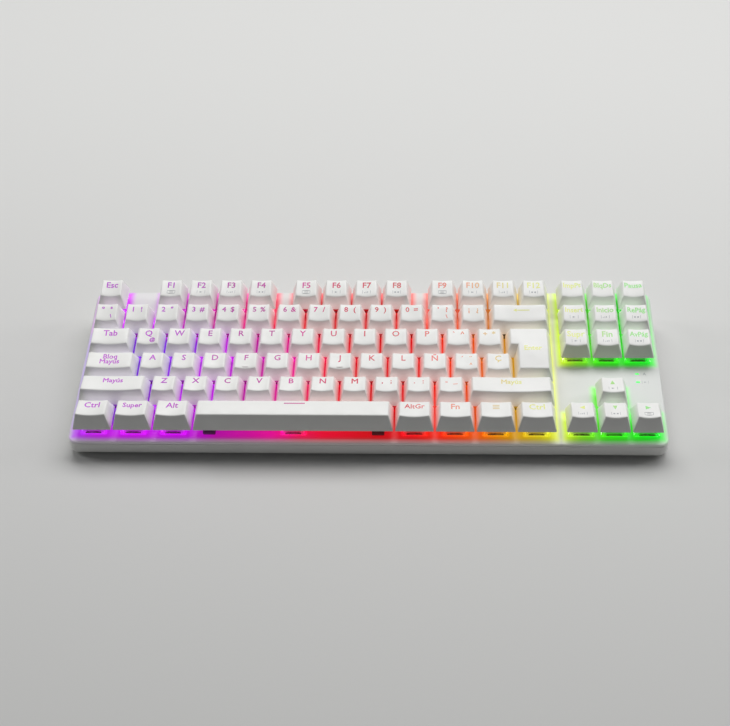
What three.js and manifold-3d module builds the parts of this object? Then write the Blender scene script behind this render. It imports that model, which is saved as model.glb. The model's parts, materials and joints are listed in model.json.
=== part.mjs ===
// A tenkeyless mechanical keyboard with floating keys: a shallow wedge-shaped case, a flat switch plate
// that is also the top of the case, switches clipped into the plate, and a tapered keycap on each switch.
//
// Millimetres, +Z up, +X to the typist's right, +Y away from the typist. The origin is the centre of the
// bounding box in X and Y, on the desk. The deck (plate, switches, keys) is built in its own tilted frame:
// x from the middle of the plate, y from the plate's front edge, z up from the plate's top face.
import * as THREE from "three";
import { mergeVertices } from "three/addons/utils/BufferGeometryUtils.js";
import Module from "manifold-3d";

const wasm = await Module();
wasm.setup();

// ---- Driving dimensions ------------------------------------------------------------------------------

const keyPitch = 19.05; // one key unit, centre to centre
const keyGap = 0.95; // free space between two neighbouring keycaps
const functionRowGap = 1.8; // extra space behind the number row
const navigationGap = 0.25; // key units between the main block and the navigation block
const mainBlockUnits = 15;
const navigationUnits = 3;
const rowCount = 6;

const marginSide = 3.2; // plate beyond the outermost key cells
const marginFront = 4.2;
const marginBack = 1.6;
const cornerRadius = 6;
const plateThickness = 1.5;
const deckTilt = THREE.MathUtils.degToRad(4.5);

const frontHeight = 11.6; // desk to the plate's top face at its front edge
const groundClearance = 1.2; // desk to the case floor, which the rubber pads fill
const caseWall = 2.2;
const caseFloor = 1.8;
const seatGap = 0.1; // left between two faces that rest on each other
const looseGap = 0.3; // left around a piece that stands in a hole

const boardDrop = 5; // plate's top face to the circuit board's top face
const boardThickness = 1.6;

const switchHole = 14; // square cut-out in the plate
const switchBodyTop = 6.6; // top of the switch housing above the plate
const flangeLip = 0.8; // how far the housing's flange rests on the plate round its hole
const switchCrown = 10.6; // width of the housing at its top
const stemWidth = 6.6;
const stemDepth = 5;
const stemBottom = 0.5; // lower end of the sliding stem above the plate, key up
const switchWellFloor = 0.8; // thickness under the stem's well
const webThickness = 0.6; // sheet that joins the switch housings on the circuit board
const travel = 4; // full key travel

const capLift = 6; // keycap skirt above the plate, key up
const capWall = 1.3;
const capCeiling = 1.5;
const capSideInset = 2.9; // how far a cap's top draws in from its skirt, left and right
const capBackInset = 2.1;
const capFrontInset = 3.8;
const dishDepth = 1.2;
const dishSteps = 4;

const stabiliserSpread = { wide: 100, narrow: 23.8 }; // distance between a long key's two stabiliser stems
const wireDiameter = 1.6;
const wireGap = 0.2; // between the wire and the switch housing in front of it

const footWidth = 28;
const footLength = 16;
const footThickness = 4.2;
const footFromSide = 34; // middle of a foot from the case's end
const footFromBack = 12; // hinge axis from the case's back
const footPinRadius = 1.2;
const footPinLength = 1.4;

const padLength = 36;
const padWidth = 9;
const frontPad = { fromSide: 30, fromEdge: 14.5 }; // a pad's middle from the case's end and its front edge
const backPad = { fromSide: 84, fromEdge: 12 }; // inboard of the feet, and clear of their swing

const screwPostRadius = 3.6;
const screwHeadRadius = 2.8;
const screwHeadDepth = 3.2;
const screwFromSide = 12;
const screwFromFront = 27;
const screwFromBack = 34;

const portWidth = 13; // opening in the back wall for a cable's plug
const portHeight = 7;
const socket = {
  width: 8.9,
  height: 3.2,
  depth: 7.3,
  shell: 0.3,
  backWall: 1,
  tongueWidth: 6.7,
  tongueHeight: 0.7,
  tongueSetBack: 1,
};

const lampPlace = { left: 1.3, front: 0.9 }; // off the right arrow key and the third row
const lampSpacing = 6.4;
const lampSize = { width: 2.6, depth: 1.4 };
const lampBorder = 1.4; // light guide's base beyond its windows
const lampBase = 1;

const overcut = 1; // how far a cutter runs past the face it opens
const bite = 0.5; // how far a joined solid reaches into the one that carries it

// ---- Derived sizes -------------------------------------------------------------------------------------

const layoutUnits = mainBlockUnits + navigationGap + navigationUnits;
const plateWidth = layoutUnits * keyPitch + 2 * marginSide;
const keyFieldDepth = rowCount * keyPitch + functionRowGap;
const plateDepth = marginFront + keyFieldDepth + marginBack;
const caseDepth = plateDepth * Math.cos(deckTilt);
const backHeight = frontHeight + plateDepth * Math.sin(deckTilt);
const capSkirt = keyPitch - keyGap;
const switchFlange = switchHole + 2 * flangeLip;

// Heights of a cap's top edge above its skirt, at the back and at the front, for each sculpted row.
const sculpt = {
  top: { back: 10.1, front: 8.9 },
  upper: { back: 8.8, front: 8.5 },
  home: { back: 7.8, front: 8.3 },
  lower: { back: 8.3, front: 10.2 },
};

// ---- Layout --------------------------------------------------------------------------------------------

// Rows from back to front. A number is an empty stretch, and [name, width] a key, both in key units.
const letters = (text) => [...text].map((c) => ["key_" + c, 1]);
const layout = [
  { sculpt: "top", cells: [["esc", 1], 1, ...numbered("f", 1, 4), 0.5, ...numbered("f", 5, 8), 0.5,
    ...numbered("f", 9, 12), navigationGap, ["print", 1], ["scroll", 1], ["pause", 1]] },
  { sculpt: "top", cells: [["ordinal", 1], ...numbered("digit", 1, 9), ["digit0", 1], ["question", 1],
    ["inverted", 1], ["backspace", 2], navigationGap, ["insert", 1], ["home", 1], ["page_up", 1]] },
  { sculpt: "upper", cells: [["tab", 1.5], ...letters("qwertyuiop"), ["grave", 1], ["plus", 1],
    1.5 + navigationGap, ["delete", 1], ["end", 1], ["page_down", 1]] },
  { sculpt: "home", cells: [["caps_lock", 1.75], ...letters("asdfghjkl"), ["enye", 1], ["acute", 1],
    ["cedilla", 1]] },
  { sculpt: "lower", cells: [["left_shift", 2.25], ...letters("zxcvbnm"), ["comma", 1], ["period", 1],
    ["hyphen", 1], ["right_shift", 2.75], navigationGap + 1, ["arrow_up", 1]] },
  { sculpt: "lower", cells: [["left_ctrl", 1.25], ["super", 1.25], ["left_alt", 1.25], ["space_bar", 6.25],
    ["alt_gr", 1.25], ["fn", 1.25], ["menu", 1.25], ["right_ctrl", 1.25], navigationGap,
    ["arrow_left", 1], ["arrow_down", 1], ["arrow_right", 1]] },
];

function numbered(stem, first, last) {
  return Array.from({ length: last - first + 1 }, (_, i) => [stem + (first + i), 1]);
}

// Centre of row number `row`, counted from the front, behind the plate's front edge.
function rowCentre(row) {
  const behindNumbers = row === rowCount - 1 ? functionRowGap : 0;
  return marginFront + (row + 0.5) * keyPitch + behindNumbers;
}

// Every key as { name, x, y, width, sculpt }, with its centre in the deck's frame and its cell's width.
function placeKeys() {
  const keys = [];
  layout.forEach((row, index) => {
    let across = 0;
    for (const cell of row.cells) {
      if (typeof cell === "number") {
        across += cell;
        continue;
      }
      const [name, units] = cell;
      const x = (across + units / 2 - layoutUnits / 2) * keyPitch;
      keys.push({ name, x, y: rowCentre(rowCount - 1 - index), width: units * keyPitch, sculpt: row.sculpt });
      across += units;
    }
  });
  return keys;
}

// The two-row enter key: 1.5 units wide in the upper row and 1.25 in the home row, level on the right.
const enter = {
  name: "enter",
  right: (mainBlockUnits - layoutUnits / 2) * keyPitch,
  upperWidth: 1.5 * keyPitch,
  lowerWidth: 1.25 * keyPitch,
};
enter.x = enter.right - enter.lowerWidth / 2;
enter.y = (rowCentre(2) + rowCentre(3)) / 2;

const keys = placeKeys();
const keyNamed = Object.fromEntries(keys.map((key) => [key.name, key]));

// Keys that share one moving node. Every other key is a node of its own.
const banks = {
  function_keys: numberedNames("f", 1, 12),
  number_keys_left: ["ordinal", ...numberedNames("digit", 1, 6)],
  number_keys_right: [...numberedNames("digit", 7, 9), "digit0", "question", "inverted"],
  navigation_keys: ["print", "scroll", "pause", "insert", "home", "page_up", "delete", "end", "page_down"],
  accent_keys: ["grave", "plus"],
  spanish_keys: ["enye", "acute", "cedilla"],
  punctuation_keys: ["comma", "period", "hyphen"],
  left_modifier_keys: ["left_ctrl", "super", "left_alt"],
  right_modifier_keys: ["alt_gr", "fn", "menu", "right_ctrl"],
};

function numberedNames(stem, first, last) {
  return numbered(stem, first, last).map(([name]) => name);
}

// Long keys with a stabiliser stem on each side of the switch. The enter key's two stand front and back.
const stabilised = {
  space_bar: stabiliserSpread.wide,
  left_shift: stabiliserSpread.narrow,
  right_shift: stabiliserSpread.narrow,
  backspace: stabiliserSpread.narrow,
};

// ---- Solids --------------------------------------------------------------------------------------------

function solidOf(geometry) {
  const bare = geometry.clone();
  bare.deleteAttribute("normal");
  bare.deleteAttribute("uv");
  const merged = mergeVertices(bare, 1e-4);
  return new wasm.Manifold(
    new wasm.Mesh({
      numProp: 3,
      vertProperties: merged.attributes.position.array,
      triVerts: new Uint32Array(merged.index.array),
    }),
  );
}

function geometryOf(solid) {
  const mesh = solid.getMesh();
  const geometry = new THREE.BufferGeometry();
  geometry.setAttribute("position", new THREE.BufferAttribute(mesh.vertProperties, 3));
  geometry.setIndex(new THREE.BufferAttribute(mesh.triVerts, 1));
  geometry.computeVertexNormals();
  return geometry;
}

// A box between two corners.
function boxSolid([x0, y0, z0], [x1, y1, z1]) {
  const box = new THREE.BoxGeometry(x1 - x0, y1 - y0, z1 - z0);
  return solidOf(box.translate((x0 + x1) / 2, (y0 + y1) / 2, (z0 + z1) / 2));
}

// A rod of `radius` from one point to another, with a few flat sides.
function rodSolid(from, to, radius, sides = 8) {
  const start = new THREE.Vector3(...from);
  const end = new THREE.Vector3(...to);
  const along = end.clone().sub(start);
  const rod = new THREE.CylinderGeometry(radius, radius, along.length(), sides);
  const direction = along.clone().normalize();
  rod.applyQuaternion(new THREE.Quaternion().setFromUnitVectors(new THREE.Vector3(0, 1, 0), direction));
  const middle = start.add(end).multiplyScalar(0.5);
  return solidOf(rod.translate(middle.x, middle.y, middle.z));
}

function roundedOutline(width, depth, radius, inset = 0) {
  const x = width / 2 - inset;
  const y0 = inset;
  const y1 = depth - inset;
  const r = radius - inset;
  const shape = new THREE.Shape();
  shape.moveTo(-x + r, y0);
  shape.lineTo(x - r, y0).absarc(x - r, y0 + r, r, -Math.PI / 2, 0);
  shape.lineTo(x, y1 - r).absarc(x - r, y1 - r, r, 0, Math.PI / 2);
  shape.lineTo(-x + r, y1).absarc(-x + r, y1 - r, r, Math.PI / 2, Math.PI);
  shape.lineTo(-x, y0 + r).absarc(-x + r, y0 + r, r, Math.PI, 1.5 * Math.PI);
  return shape;
}

function extrude(shape, bottom, top) {
  const options = { depth: top - bottom, bevelEnabled: false, curveSegments: 6 };
  return new THREE.ExtrudeGeometry(shape, options).translate(0, 0, bottom);
}

// The corners of a level rectangle, anticlockwise.
function oblong(x0, y0, x1, y1, z) {
  return [[x0, y0, z], [x1, y0, z], [x1, y1, z], [x0, y1, z]];
}

// A closed solid between a lower outline and an upper one of as many points, each wound anticlockwise.
function loftSolid(lower, upper) {
  const count = lower.length;
  const points = [...lower, ...upper].map((p) => new THREE.Vector3(...p));
  const flat = (outline) => outline.map(([x, y]) => new THREE.Vector2(x, y));
  const faces = [];
  THREE.ShapeUtils.triangulateShape(flat(lower), []).forEach(([a, b, c]) => faces.push(c, b, a));
  for (const face of THREE.ShapeUtils.triangulateShape(flat(upper), [])) {
    faces.push(...face.map((corner) => corner + count));
  }
  for (let i = 0; i < count; i++) {
    const j = (i + 1) % count;
    faces.push(i, j, j + count, i, j + count, i + count);
  }
  return solidOf(new THREE.BufferGeometry().setFromPoints(points).setIndex(faces));
}

// ---- Keycaps -------------------------------------------------------------------------------------------

// The outside of a keycap: a straight-edged skirt that draws in to a top with a cylindrical dish.
function capOutside(width, depth, heights, dish) {
  const x = width / 2;
  const y = depth / 2;
  const corners = [[-x, -y, 0], [x, -y, 0], [x, y, 0], [-x, y, 0]];
  const topX = x - capSideInset;
  const edge = (topY, height, direction) =>
    Array.from({ length: dishSteps + 1 }, (_, i) => {
      const across = (2 * i) / dishSteps - 1;
      return [direction * across * topX, topY, height - dish * (1 - across * across)];
    });
  const front = edge(-y + capFrontInset, heights.front, 1);
  const back = edge(y - capBackInset, heights.back, -1);
  const points = [...corners, ...front, ...back].map((p) => new THREE.Vector3(...p));
  const firstFront = 4;
  const firstBack = firstFront + dishSteps + 1;
  const lastBack = firstBack + dishSteps;
  const faces = [0, 2, 1, 0, 3, 2];
  faces.push(1, 2, firstBack, 1, firstBack, firstBack - 1);
  faces.push(3, 0, firstFront, 3, firstFront, lastBack);
  faces.push(0, 1, firstBack - 1, 2, 3, lastBack);
  for (let i = 0; i < dishSteps; i++) {
    const front0 = firstFront + i;
    const back0 = firstBack + i;
    faces.push(0, front0 + 1, front0, 2, back0 + 1, back0);
    faces.push(front0, front0 + 1, lastBack - i - 1, front0, lastBack - i - 1, lastBack - i);
  }
  return solidOf(new THREE.BufferGeometry().setFromPoints(points).setIndex(faces));
}

// The room inside a cap: its walls follow the outside, and its ceiling stays clear of the dish.
function capInside(width, depth, heights, dish) {
  const x = width / 2 - capWall;
  const y = depth / 2 - capWall;
  const ceiling = Math.min(heights.back, heights.front) - dish - capCeiling;
  const share = ceiling / Math.max(heights.back, heights.front);
  const lower = oblong(-x, -y, x, y, -overcut);
  const topX = x - capSideInset * share;
  const upper = oblong(-topX, -y + capFrontInset * share, topX, y - capBackInset * share, ceiling);
  return { room: loftSolid(lower, upper), ceiling };
}

function switchStem(ceiling) {
  const x = stemWidth / 2;
  const y = stemDepth / 2;
  return boxSolid([-x, -y, stemBottom - capLift], [x, y, ceiling + bite]);
}

// The stabiliser wire's pivot behind the switch housing, and the hook at the end of its arm that holds the
// stem, both from the key's centre at plate level.
const wirePivot = { y: switchFlange / 2 + wireGap + wireDiameter / 2, z: 1 };
const hookRise = travel / 2; // the hook stands this far over its pivot when the key is up
const hookY = 1.3;
const hookZ = wirePivot.z + hookRise;
const armOutset = 2.5; // wire arm outside the stem's middle
const hookReach = 4;
const stemBlade = { width: 2.8, front: 2.5, back: 3.5, bottom: 1.2 };
const hookPlay = 0.6;

// A stabiliser stem: a flat blade under the cap with a window for the wire's hook.
function stabiliserStem(x, ceiling) {
  const half = stemBlade.width / 2;
  const blade = boxSolid(
    [x - half, -stemBlade.front, stemBlade.bottom - capLift],
    [x + half, stemBlade.back, ceiling + bite],
  );
  const reach = wireDiameter / 2 + hookPlay;
  const window = boxSolid(
    [x - half - overcut, hookY - reach, hookZ - capLift - reach],
    [x + half + overcut, hookY + reach, hookZ - capLift + reach],
  );
  return blade.subtract(window);
}

// A whole cap with its stems, its skirt at z 0 and its middle at x 0, y 0.
function keycapSolid(key) {
  const width = key.width - keyGap;
  const dish = key.name === "space_bar" ? 0 : dishDepth;
  const heights = sculpt[key.sculpt];
  const { room, ceiling } = capInside(width, capSkirt, heights, dish);
  let cap = capOutside(width, capSkirt, heights, dish).subtract(room).add(switchStem(ceiling));
  const spread = stabilised[key.name];
  if (spread) {
    for (const side of [-1, 1]) cap = cap.add(stabiliserStem((side * spread) / 2, ceiling));
  }
  return cap;
}

// Outline of the enter key about its own centre, drawn in by `inset` amounts, wider in the upper row.
function enterOutline(z, { side, front, back, step }) {
  const right = enter.right - enter.x - keyGap / 2 - side;
  const left = -enter.lowerWidth / 2 + keyGap / 2 + side;
  const upperLeft = enter.right - enter.x - enter.upperWidth + keyGap / 2 + side;
  const yFront = -keyPitch + keyGap / 2 + front;
  const yBack = keyPitch - keyGap / 2 - back;
  const yStep = keyGap / 2 + step;
  return [
    [left, yFront, z(yFront)], [right, yFront, z(yFront)], [right, yBack, z(yBack)],
    [upperLeft, yBack, z(yBack)], [upperLeft, yStep, z(yStep)], [left, yStep, z(yStep)],
  ];
}

function enterSolid() {
  const backHeight = sculpt.upper.back;
  const frontHeightOfCap = sculpt.home.front;
  const yFront = -keyPitch + keyGap / 2 + capFrontInset;
  const yBack = keyPitch - keyGap / 2 - capBackInset;
  const slope = (backHeight - frontHeightOfCap) / (yBack - yFront);
  const topAt = (y) => frontHeightOfCap + (y - yFront) * slope;
  const skirt = { side: 0, front: 0, back: 0, step: 0 };
  const lid = { side: capSideInset, front: capFrontInset, back: capBackInset, step: capFrontInset };
  const outside = loftSolid(enterOutline(() => 0, skirt), enterOutline(topAt, lid));
  const ceiling = frontHeightOfCap - capCeiling;
  const share = ceiling / backHeight;
  const grown = (amounts, k) =>
    Object.fromEntries(Object.entries(amounts).map(([name, value]) => [name, value * k + capWall]));
  const room = loftSolid(
    enterOutline(() => -overcut, grown(skirt, 1)),
    enterOutline(() => ceiling, grown(lid, share)),
  );
  return outside.subtract(room).add(switchStem(ceiling));
}

// A bank's caps joined by a narrow web between neighbouring skirts.
const webHeight = { bottom: 0.6, top: 1.8 };
const webHalfWidth = 3;
const webGrip = 0.8; // how far the web reaches into each skirt's wall

function bankSolid(members, origin) {
  let bank = null;
  const join = (piece) => (bank = bank ? bank.add(piece) : piece);
  members.forEach((key) => join(keycapSolid(key).translate([key.x - origin.x, key.y - origin.y, 0])));
  for (const a of members) {
    const sameRow = members.filter((b) => b.y === a.y && b.x > a.x).sort((p, q) => p.x - q.x)[0];
    if (sameRow) {
      const x0 = a.x + (a.width - keyGap) / 2 - webGrip - origin.x;
      const x1 = sameRow.x - (sameRow.width - keyGap) / 2 + webGrip - origin.x;
      const y = a.y - origin.y;
      join(boxSolid([x0, y - webHalfWidth, webHeight.bottom], [x1, y + webHalfWidth, webHeight.top]));
    }
    const behind = members.filter((b) => Math.abs(b.x - a.x) < 1 && b.y > a.y).sort((p, q) => p.y - q.y)[0];
    if (behind) {
      const y0 = a.y + capSkirt / 2 - webGrip - origin.y;
      const y1 = behind.y - capSkirt / 2 + webGrip - origin.y;
      const x = a.x - origin.x;
      join(boxSolid([x - webHalfWidth, y0, webHeight.bottom], [x + webHalfWidth, y1, webHeight.top]));
    }
  }
  return bank;
}

// ---- Deck ----------------------------------------------------------------------------------------------

// The circuit board's edges, clear of the case walls.
const boardFront = marginFront;
const boardBack = plateDepth - caseWall - 1;
const boardReach = plateWidth / 2 - caseWall - 1;

// Every switch's centre: one under each key, and the enter key's between its two rows.
const switchCentres = [...keys, enter].map(({ x, y }) => ({ x, y }));

// Stabiliser housings as boxes in the deck's frame, on both sides of a long key's switch.
const guideToWire = 0.8; // between a housing's hole in the plate and the wire's bar behind it
const guideBack = wirePivot.y - wireDiameter / 2 - guideToWire;
const guide = { inner: 3.4, outer: 4.4, front: 6.2, back: guideBack, top: 4.6 };
const guideLip = { front: 7.5, top: 1.6 }; // the clip on the plate, under the pressed cap's skirt
const guideSlot = { inner: 2.3, outer: armOutset + wireDiameter / 2 + looseGap, front: 3.4 };
const guides = Object.entries(stabilised).flatMap(([name, spread]) =>
  [-1, 1].map((side) => ({ x: keyNamed[name].x + (side * spread) / 2, y: keyNamed[name].y, side })),
);
const guideRun = { inner: guide.inner - looseGap, outer: guide.outer - looseGap };

// x range from `inner` towards the key's middle to `outer` away from it, lowest first.
function span(g, inner, outer) {
  return g.side > 0 ? [g.x - inner, g.x + outer] : [g.x - outer, g.x + inner];
}

function indicatorPlaces() {
  const x = keyNamed.arrow_right.x - lampPlace.left;
  const y = rowCentre(2) - lampPlace.front;
  return [{ x, y: y + lampSpacing / 2 }, { x, y: y - lampSpacing / 2 }];
}

function switchPlate() {
  const outline = roundedOutline(plateWidth, plateDepth, cornerRadius);
  let plate = solidOf(extrude(outline, -plateThickness, 0));
  const cut = (x0, y0, x1, y1) => {
    plate = plate.subtract(boxSolid([x0, y0, -plateThickness - overcut], [x1, y1, overcut]));
  };
  const half = switchHole / 2;
  for (const { x, y } of switchCentres) cut(x - half, y - half, x + half, y + half);
  const lampX = lampSize.width / 2 + looseGap;
  const lampY = lampSize.depth / 2 + looseGap;
  for (const { x, y } of indicatorPlaces()) cut(x - lampX, y - lampY, x + lampX, y + lampY);
  for (const g of guides) {
    const [x0, x1] = span(g, guide.inner, guide.outer);
    cut(x0, g.y - guide.front, x1, g.y + wirePivot.y);
  }
  return plate;
}

// One switch housing, from the joining sheet up through the plate, with a well for the stem.
function switchHousing({ x, y }) {
  const body = switchHole / 2 - looseGap;
  const bottom = -boardDrop + seatGap;
  const below = boxSolid([x - body, y - body, bottom], [x + body, y + body, seatGap + bite]);
  const square = (half, z) => oblong(x - half, y - half, x + half, y + half, z);
  const above = loftSolid(square(switchFlange / 2, seatGap), square(switchCrown / 2, switchBodyTop));
  const wellX = stemWidth / 2 + looseGap;
  const wellY = stemDepth / 2 + looseGap;
  const well = boxSolid(
    [x - wellX, y - wellY, bottom + switchWellFloor],
    [x + wellX, y + wellY, switchBodyTop + overcut],
  );
  return below.add(above).subtract(well);
}

// A stabiliser housing: a block through the plate with a lip on it, slotted for the blade and the wire's arm.
function stabiliserHousing(g) {
  const [x0, x1] = span(g, guideRun.inner, guideRun.outer);
  const block = boxSolid(
    [x0, g.y - guide.front + looseGap, -boardDrop + seatGap],
    [x1, g.y + guide.back - looseGap, guide.top],
  );
  const lip = boxSolid(
    [x0, g.y - guideLip.front, seatGap],
    [x1, g.y - guide.front + looseGap + bite, guideLip.top],
  );
  const [s0, s1] = span(g, guideSlot.inner, guideSlot.outer);
  const slot = boxSolid(
    [s0, g.y - guideSlot.front, -boardDrop + seatGap + webThickness],
    [s1, g.y + guide.back + overcut, guide.top + overcut],
  );
  return block.add(lip).subtract(slot);
}

function switchHousings() {
  const bottom = -boardDrop + seatGap;
  const sheet = boxSolid(
    [-boardReach + 1, boardFront + 1, bottom],
    [boardReach - 1, boardBack - 1, bottom + webThickness],
  );
  const stands = [...switchCentres.map(switchHousing), ...guides.map(stabiliserHousing)];
  return stands.reduce((bank, stand) => bank.add(stand), sheet);
}

function circuitBoard() {
  const outline = roundedOutline(2 * boardReach, boardBack - boardFront, cornerRadius - caseWall);
  const board = extrude(outline, -boardDrop - boardThickness, -boardDrop);
  return solidOf(board.translate(0, boardFront, 0));
}

// The cable socket under the board's back edge: a metal shell round a contact tongue.
const socketTop = -boardDrop - boardThickness - seatGap;
const socketMiddle = socketTop - socket.height / 2;

function cableSocket() {
  const x = socket.width / 2;
  const front = boardBack - socket.depth;
  const shell = boxSolid([-x, front, socketTop - socket.height], [x, boardBack, socketTop]);
  const mouth = boxSolid(
    [-x + socket.shell, front + socket.backWall, socketTop - socket.height + socket.shell],
    [x - socket.shell, boardBack + overcut, socketTop - socket.shell],
  );
  const w = socket.tongueWidth / 2;
  const h = socket.tongueHeight / 2;
  const tongue = boxSolid(
    [-w, front + socket.backWall - bite, socketMiddle - h],
    [w, boardBack - socket.tongueSetBack, socketMiddle + h],
  );
  return shell.subtract(mouth).add(tongue);
}

// The clear light guide behind the two lock indicators, its windows level with the plate's top.
function indicatorLens() {
  const places = indicatorPlaces();
  const x = places[0].x;
  const top = -plateThickness - seatGap;
  const w = lampSize.width / 2;
  const d = lampSize.depth / 2;
  const halfWidth = w + lampBorder;
  const halfDepth = lampSpacing / 2 + d + lampBorder;
  const y = (places[0].y + places[1].y) / 2;
  let lens = boxSolid([x - halfWidth, y - halfDepth, top - lampBase], [x + halfWidth, y + halfDepth, top]);
  for (const place of places) {
    lens = lens.add(boxSolid([x - w, place.y - d, top - bite], [x + w, place.y + d, 0]));
  }
  return lens;
}

// The space bar's stabiliser wire, about its own pivot line: a bar, two arms and two hooks.
function stabiliserWire() {
  const r = wireDiameter / 2;
  const armX = stabiliserSpread.wide / 2 + armOutset;
  const y = hookY - wirePivot.y;
  const z = hookRise;
  let wire = rodSolid([-armX, 0, 0], [armX, 0, 0], r);
  for (const side of [-1, 1]) {
    wire = wire.add(rodSolid([side * armX, r / 2, 0], [side * armX, y - r / 2, z], r));
    wire = wire.add(rodSolid([side * (armX + r / 2), y, z], [side * (armX - hookReach), y, z], r));
  }
  return wire;
}

// ---- Case, in the desk's frame: y from the front wall, z from the desk ------------------------------------

const postX = plateWidth / 2 - screwFromSide;
const postPlaces = [-postX, 0, postX].flatMap((x) => [
  { x, y: screwFromFront },
  { x, y: caseDepth - screwFromBack },
]);
const footAxis = { y: caseDepth - footFromBack, z: groundClearance + footThickness / 2 + looseGap };
const footX = plateWidth / 2 - footFromSide;

// Height over the desk of a point of the deck's frame, and its distance behind the front wall.
function onDesk(y, z) {
  return {
    y: y * Math.cos(deckTilt) - z * Math.sin(deckTilt),
    z: frontHeight + y * Math.sin(deckTilt) + z * Math.cos(deckTilt),
  };
}

// Everything above a face that lies `drop` below the plate's top, as a cutter in the desk's frame.
function aboveDeck(drop) {
  const tall = backHeight + drop;
  const box = new THREE.BoxGeometry(2 * plateWidth, 2 * plateDepth, tall);
  box.translate(0, plateDepth / 2, tall / 2 - drop);
  box.rotateX(deckTilt).translate(0, 0, frontHeight);
  return solidOf(box);
}

function footPocket(side) {
  const x = side * footX;
  const half = footWidth / 2 + looseGap;
  const front = footAxis.y - footLength - looseGap;
  const back = footAxis.y + footThickness / 2 + looseGap;
  const roof = footAxis.z + footThickness / 2 + looseGap;
  const pins = rodSolid(
    [x - half - footPinLength - looseGap, footAxis.y, footAxis.z],
    [x + half + footPinLength + looseGap, footAxis.y, footAxis.z],
    footPinRadius + looseGap, 10,
  );
  return {
    boss: boxSolid(
      [x - half - caseWall, front - caseWall, groundClearance],
      [x + half + caseWall, back + caseWall, roof + caseWall],
    ),
    hollow: boxSolid([x - half, front, groundClearance - overcut], [x + half, back, roof]).add(pins),
  };
}

function bottomCase() {
  const outline = roundedOutline(plateWidth, caseDepth, cornerRadius);
  const inside = roundedOutline(plateWidth, caseDepth, cornerRadius, caseWall);
  let tray = solidOf(extrude(outline, groundClearance, backHeight));
  tray = tray.subtract(solidOf(extrude(inside, groundClearance + caseFloor, backHeight + overcut)));
  for (const { x, y } of postPlaces) {
    tray = tray.add(rodSolid([x, y, groundClearance + bite], [x, y, backHeight], screwPostRadius, 10));
  }
  const pockets = [footPocket(-1), footPocket(1)];
  for (const pocket of pockets) tray = tray.add(pocket.boss);
  for (const pocket of pockets) tray = tray.subtract(pocket.hollow);
  for (const { x, y } of postPlaces) {
    const head = [x, y, groundClearance + screwHeadDepth];
    tray = tray.subtract(rodSolid([x, y, groundClearance - overcut], head, screwHeadRadius, 10));
  }
  // Posts stop under the board, and walls under the plate.
  const boardRoom = solidOf(extrude(inside, 0, backHeight + overcut))
    .intersect(aboveDeck(boardDrop + boardThickness + looseGap));
  tray = tray.subtract(boardRoom).subtract(aboveDeck(plateThickness + seatGap));
  const port = onDesk(boardBack, socketMiddle);
  return tray.subtract(
    boxSolid(
      [-portWidth / 2, caseDepth - caseWall - overcut, port.z - portHeight / 2],
      [portWidth / 2, caseDepth + overcut, port.z + portHeight / 2],
    ),
  );
}

// A flip-out foot about its hinge axis, folded: a slab to the front with a pin at each end.
function foot() {
  const r = footThickness / 2;
  const half = footWidth / 2;
  const slab = boxSolid([-half, -footLength, -r], [half, 0, r]);
  const knuckle = rodSolid([-half, 0, 0], [half, 0, 0], r, 12);
  const pins = rodSolid([-half - footPinLength, 0, 0], [half + footPinLength, 0, 0], footPinRadius, 10);
  return slab.add(knuckle).add(pins);
}

function rubberPad() {
  return boxSolid(
    [-padLength / 2, -padWidth / 2, 0],
    [padLength / 2, padWidth / 2, groundClearance - seatGap],
  );
}

// ---- Materials -----------------------------------------------------------------------------------------

function finish(color, roughness, metalness = 0) {
  return new THREE.MeshStandardMaterial({ color, roughness, metalness });
}

const materials = {
  cap: finish(0xf2f2ef, 0.45),
  case: finish(0xe9e9e6, 0.5),
  plate: finish(0xf4f4f2, 0.4, 0.1),
  housing: finish(0xb9bcc0, 0.25),
  board: finish(0x1f2b24, 0.6),
  steel: finish(0xb8babd, 0.3, 1),
  lens: finish(0x46e070, 0.2),
  rubber: finish(0x26272a, 0.85),
};

// ---- Assembly ------------------------------------------------------------------------------------------

function node(name, solid, material, position = [0, 0, 0]) {
  const mesh = new THREE.Mesh(geometryOf(solid), material);
  mesh.name = name;
  mesh.position.set(...position);
  return mesh;
}

const deck = new THREE.Group();
deck.position.z = frontHeight;
deck.rotation.x = deckTilt;
deck.add(
  node("switch_plate", switchPlate(), materials.plate),
  node("switch_housings", switchHousings(), materials.housing),
  node("circuit_board", circuitBoard(), materials.board),
  node("usb_socket", cableSocket(), materials.steel),
  node("indicator_lens", indicatorLens(), materials.lens),
);

const spaceBar = keyNamed.space_bar;
const wireAt = [spaceBar.x, spaceBar.y + wirePivot.y, wirePivot.z];
deck.add(node("space_bar_stabiliser_wire", stabiliserWire(), materials.steel, wireAt));

const banked = new Set(Object.values(banks).flat());
for (const key of keys.filter(({ name }) => !banked.has(name))) {
  deck.add(node(key.name, keycapSolid(key), materials.cap, [key.x, key.y, capLift]));
}
deck.add(node("enter", enterSolid(), materials.cap, [enter.x, enter.y, capLift]));
for (const [name, memberNames] of Object.entries(banks)) {
  const members = memberNames.map((member) => keyNamed[member]);
  const first = members[0];
  deck.add(node(name, bankSolid(members, first), materials.cap, [first.x, first.y, capLift]));
}

const base = new THREE.Group();
base.add(node("bottom_case", bottomCase(), materials.case));
for (const [label, side] of [["left", -1], ["right", 1]]) {
  base.add(node(label + "_foot", foot(), materials.case, [side * footX, footAxis.y, footAxis.z]));
  for (const [row, place, y] of [
    ["front", frontPad, frontPad.fromEdge],
    ["back", backPad, caseDepth - backPad.fromEdge],
  ]) {
    const padX = side * (plateWidth / 2 - place.fromSide);
    base.add(node(`${row}_${label}_pad`, rubberPad(), materials.rubber, [padX, y, 0]));
  }
}

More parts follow.
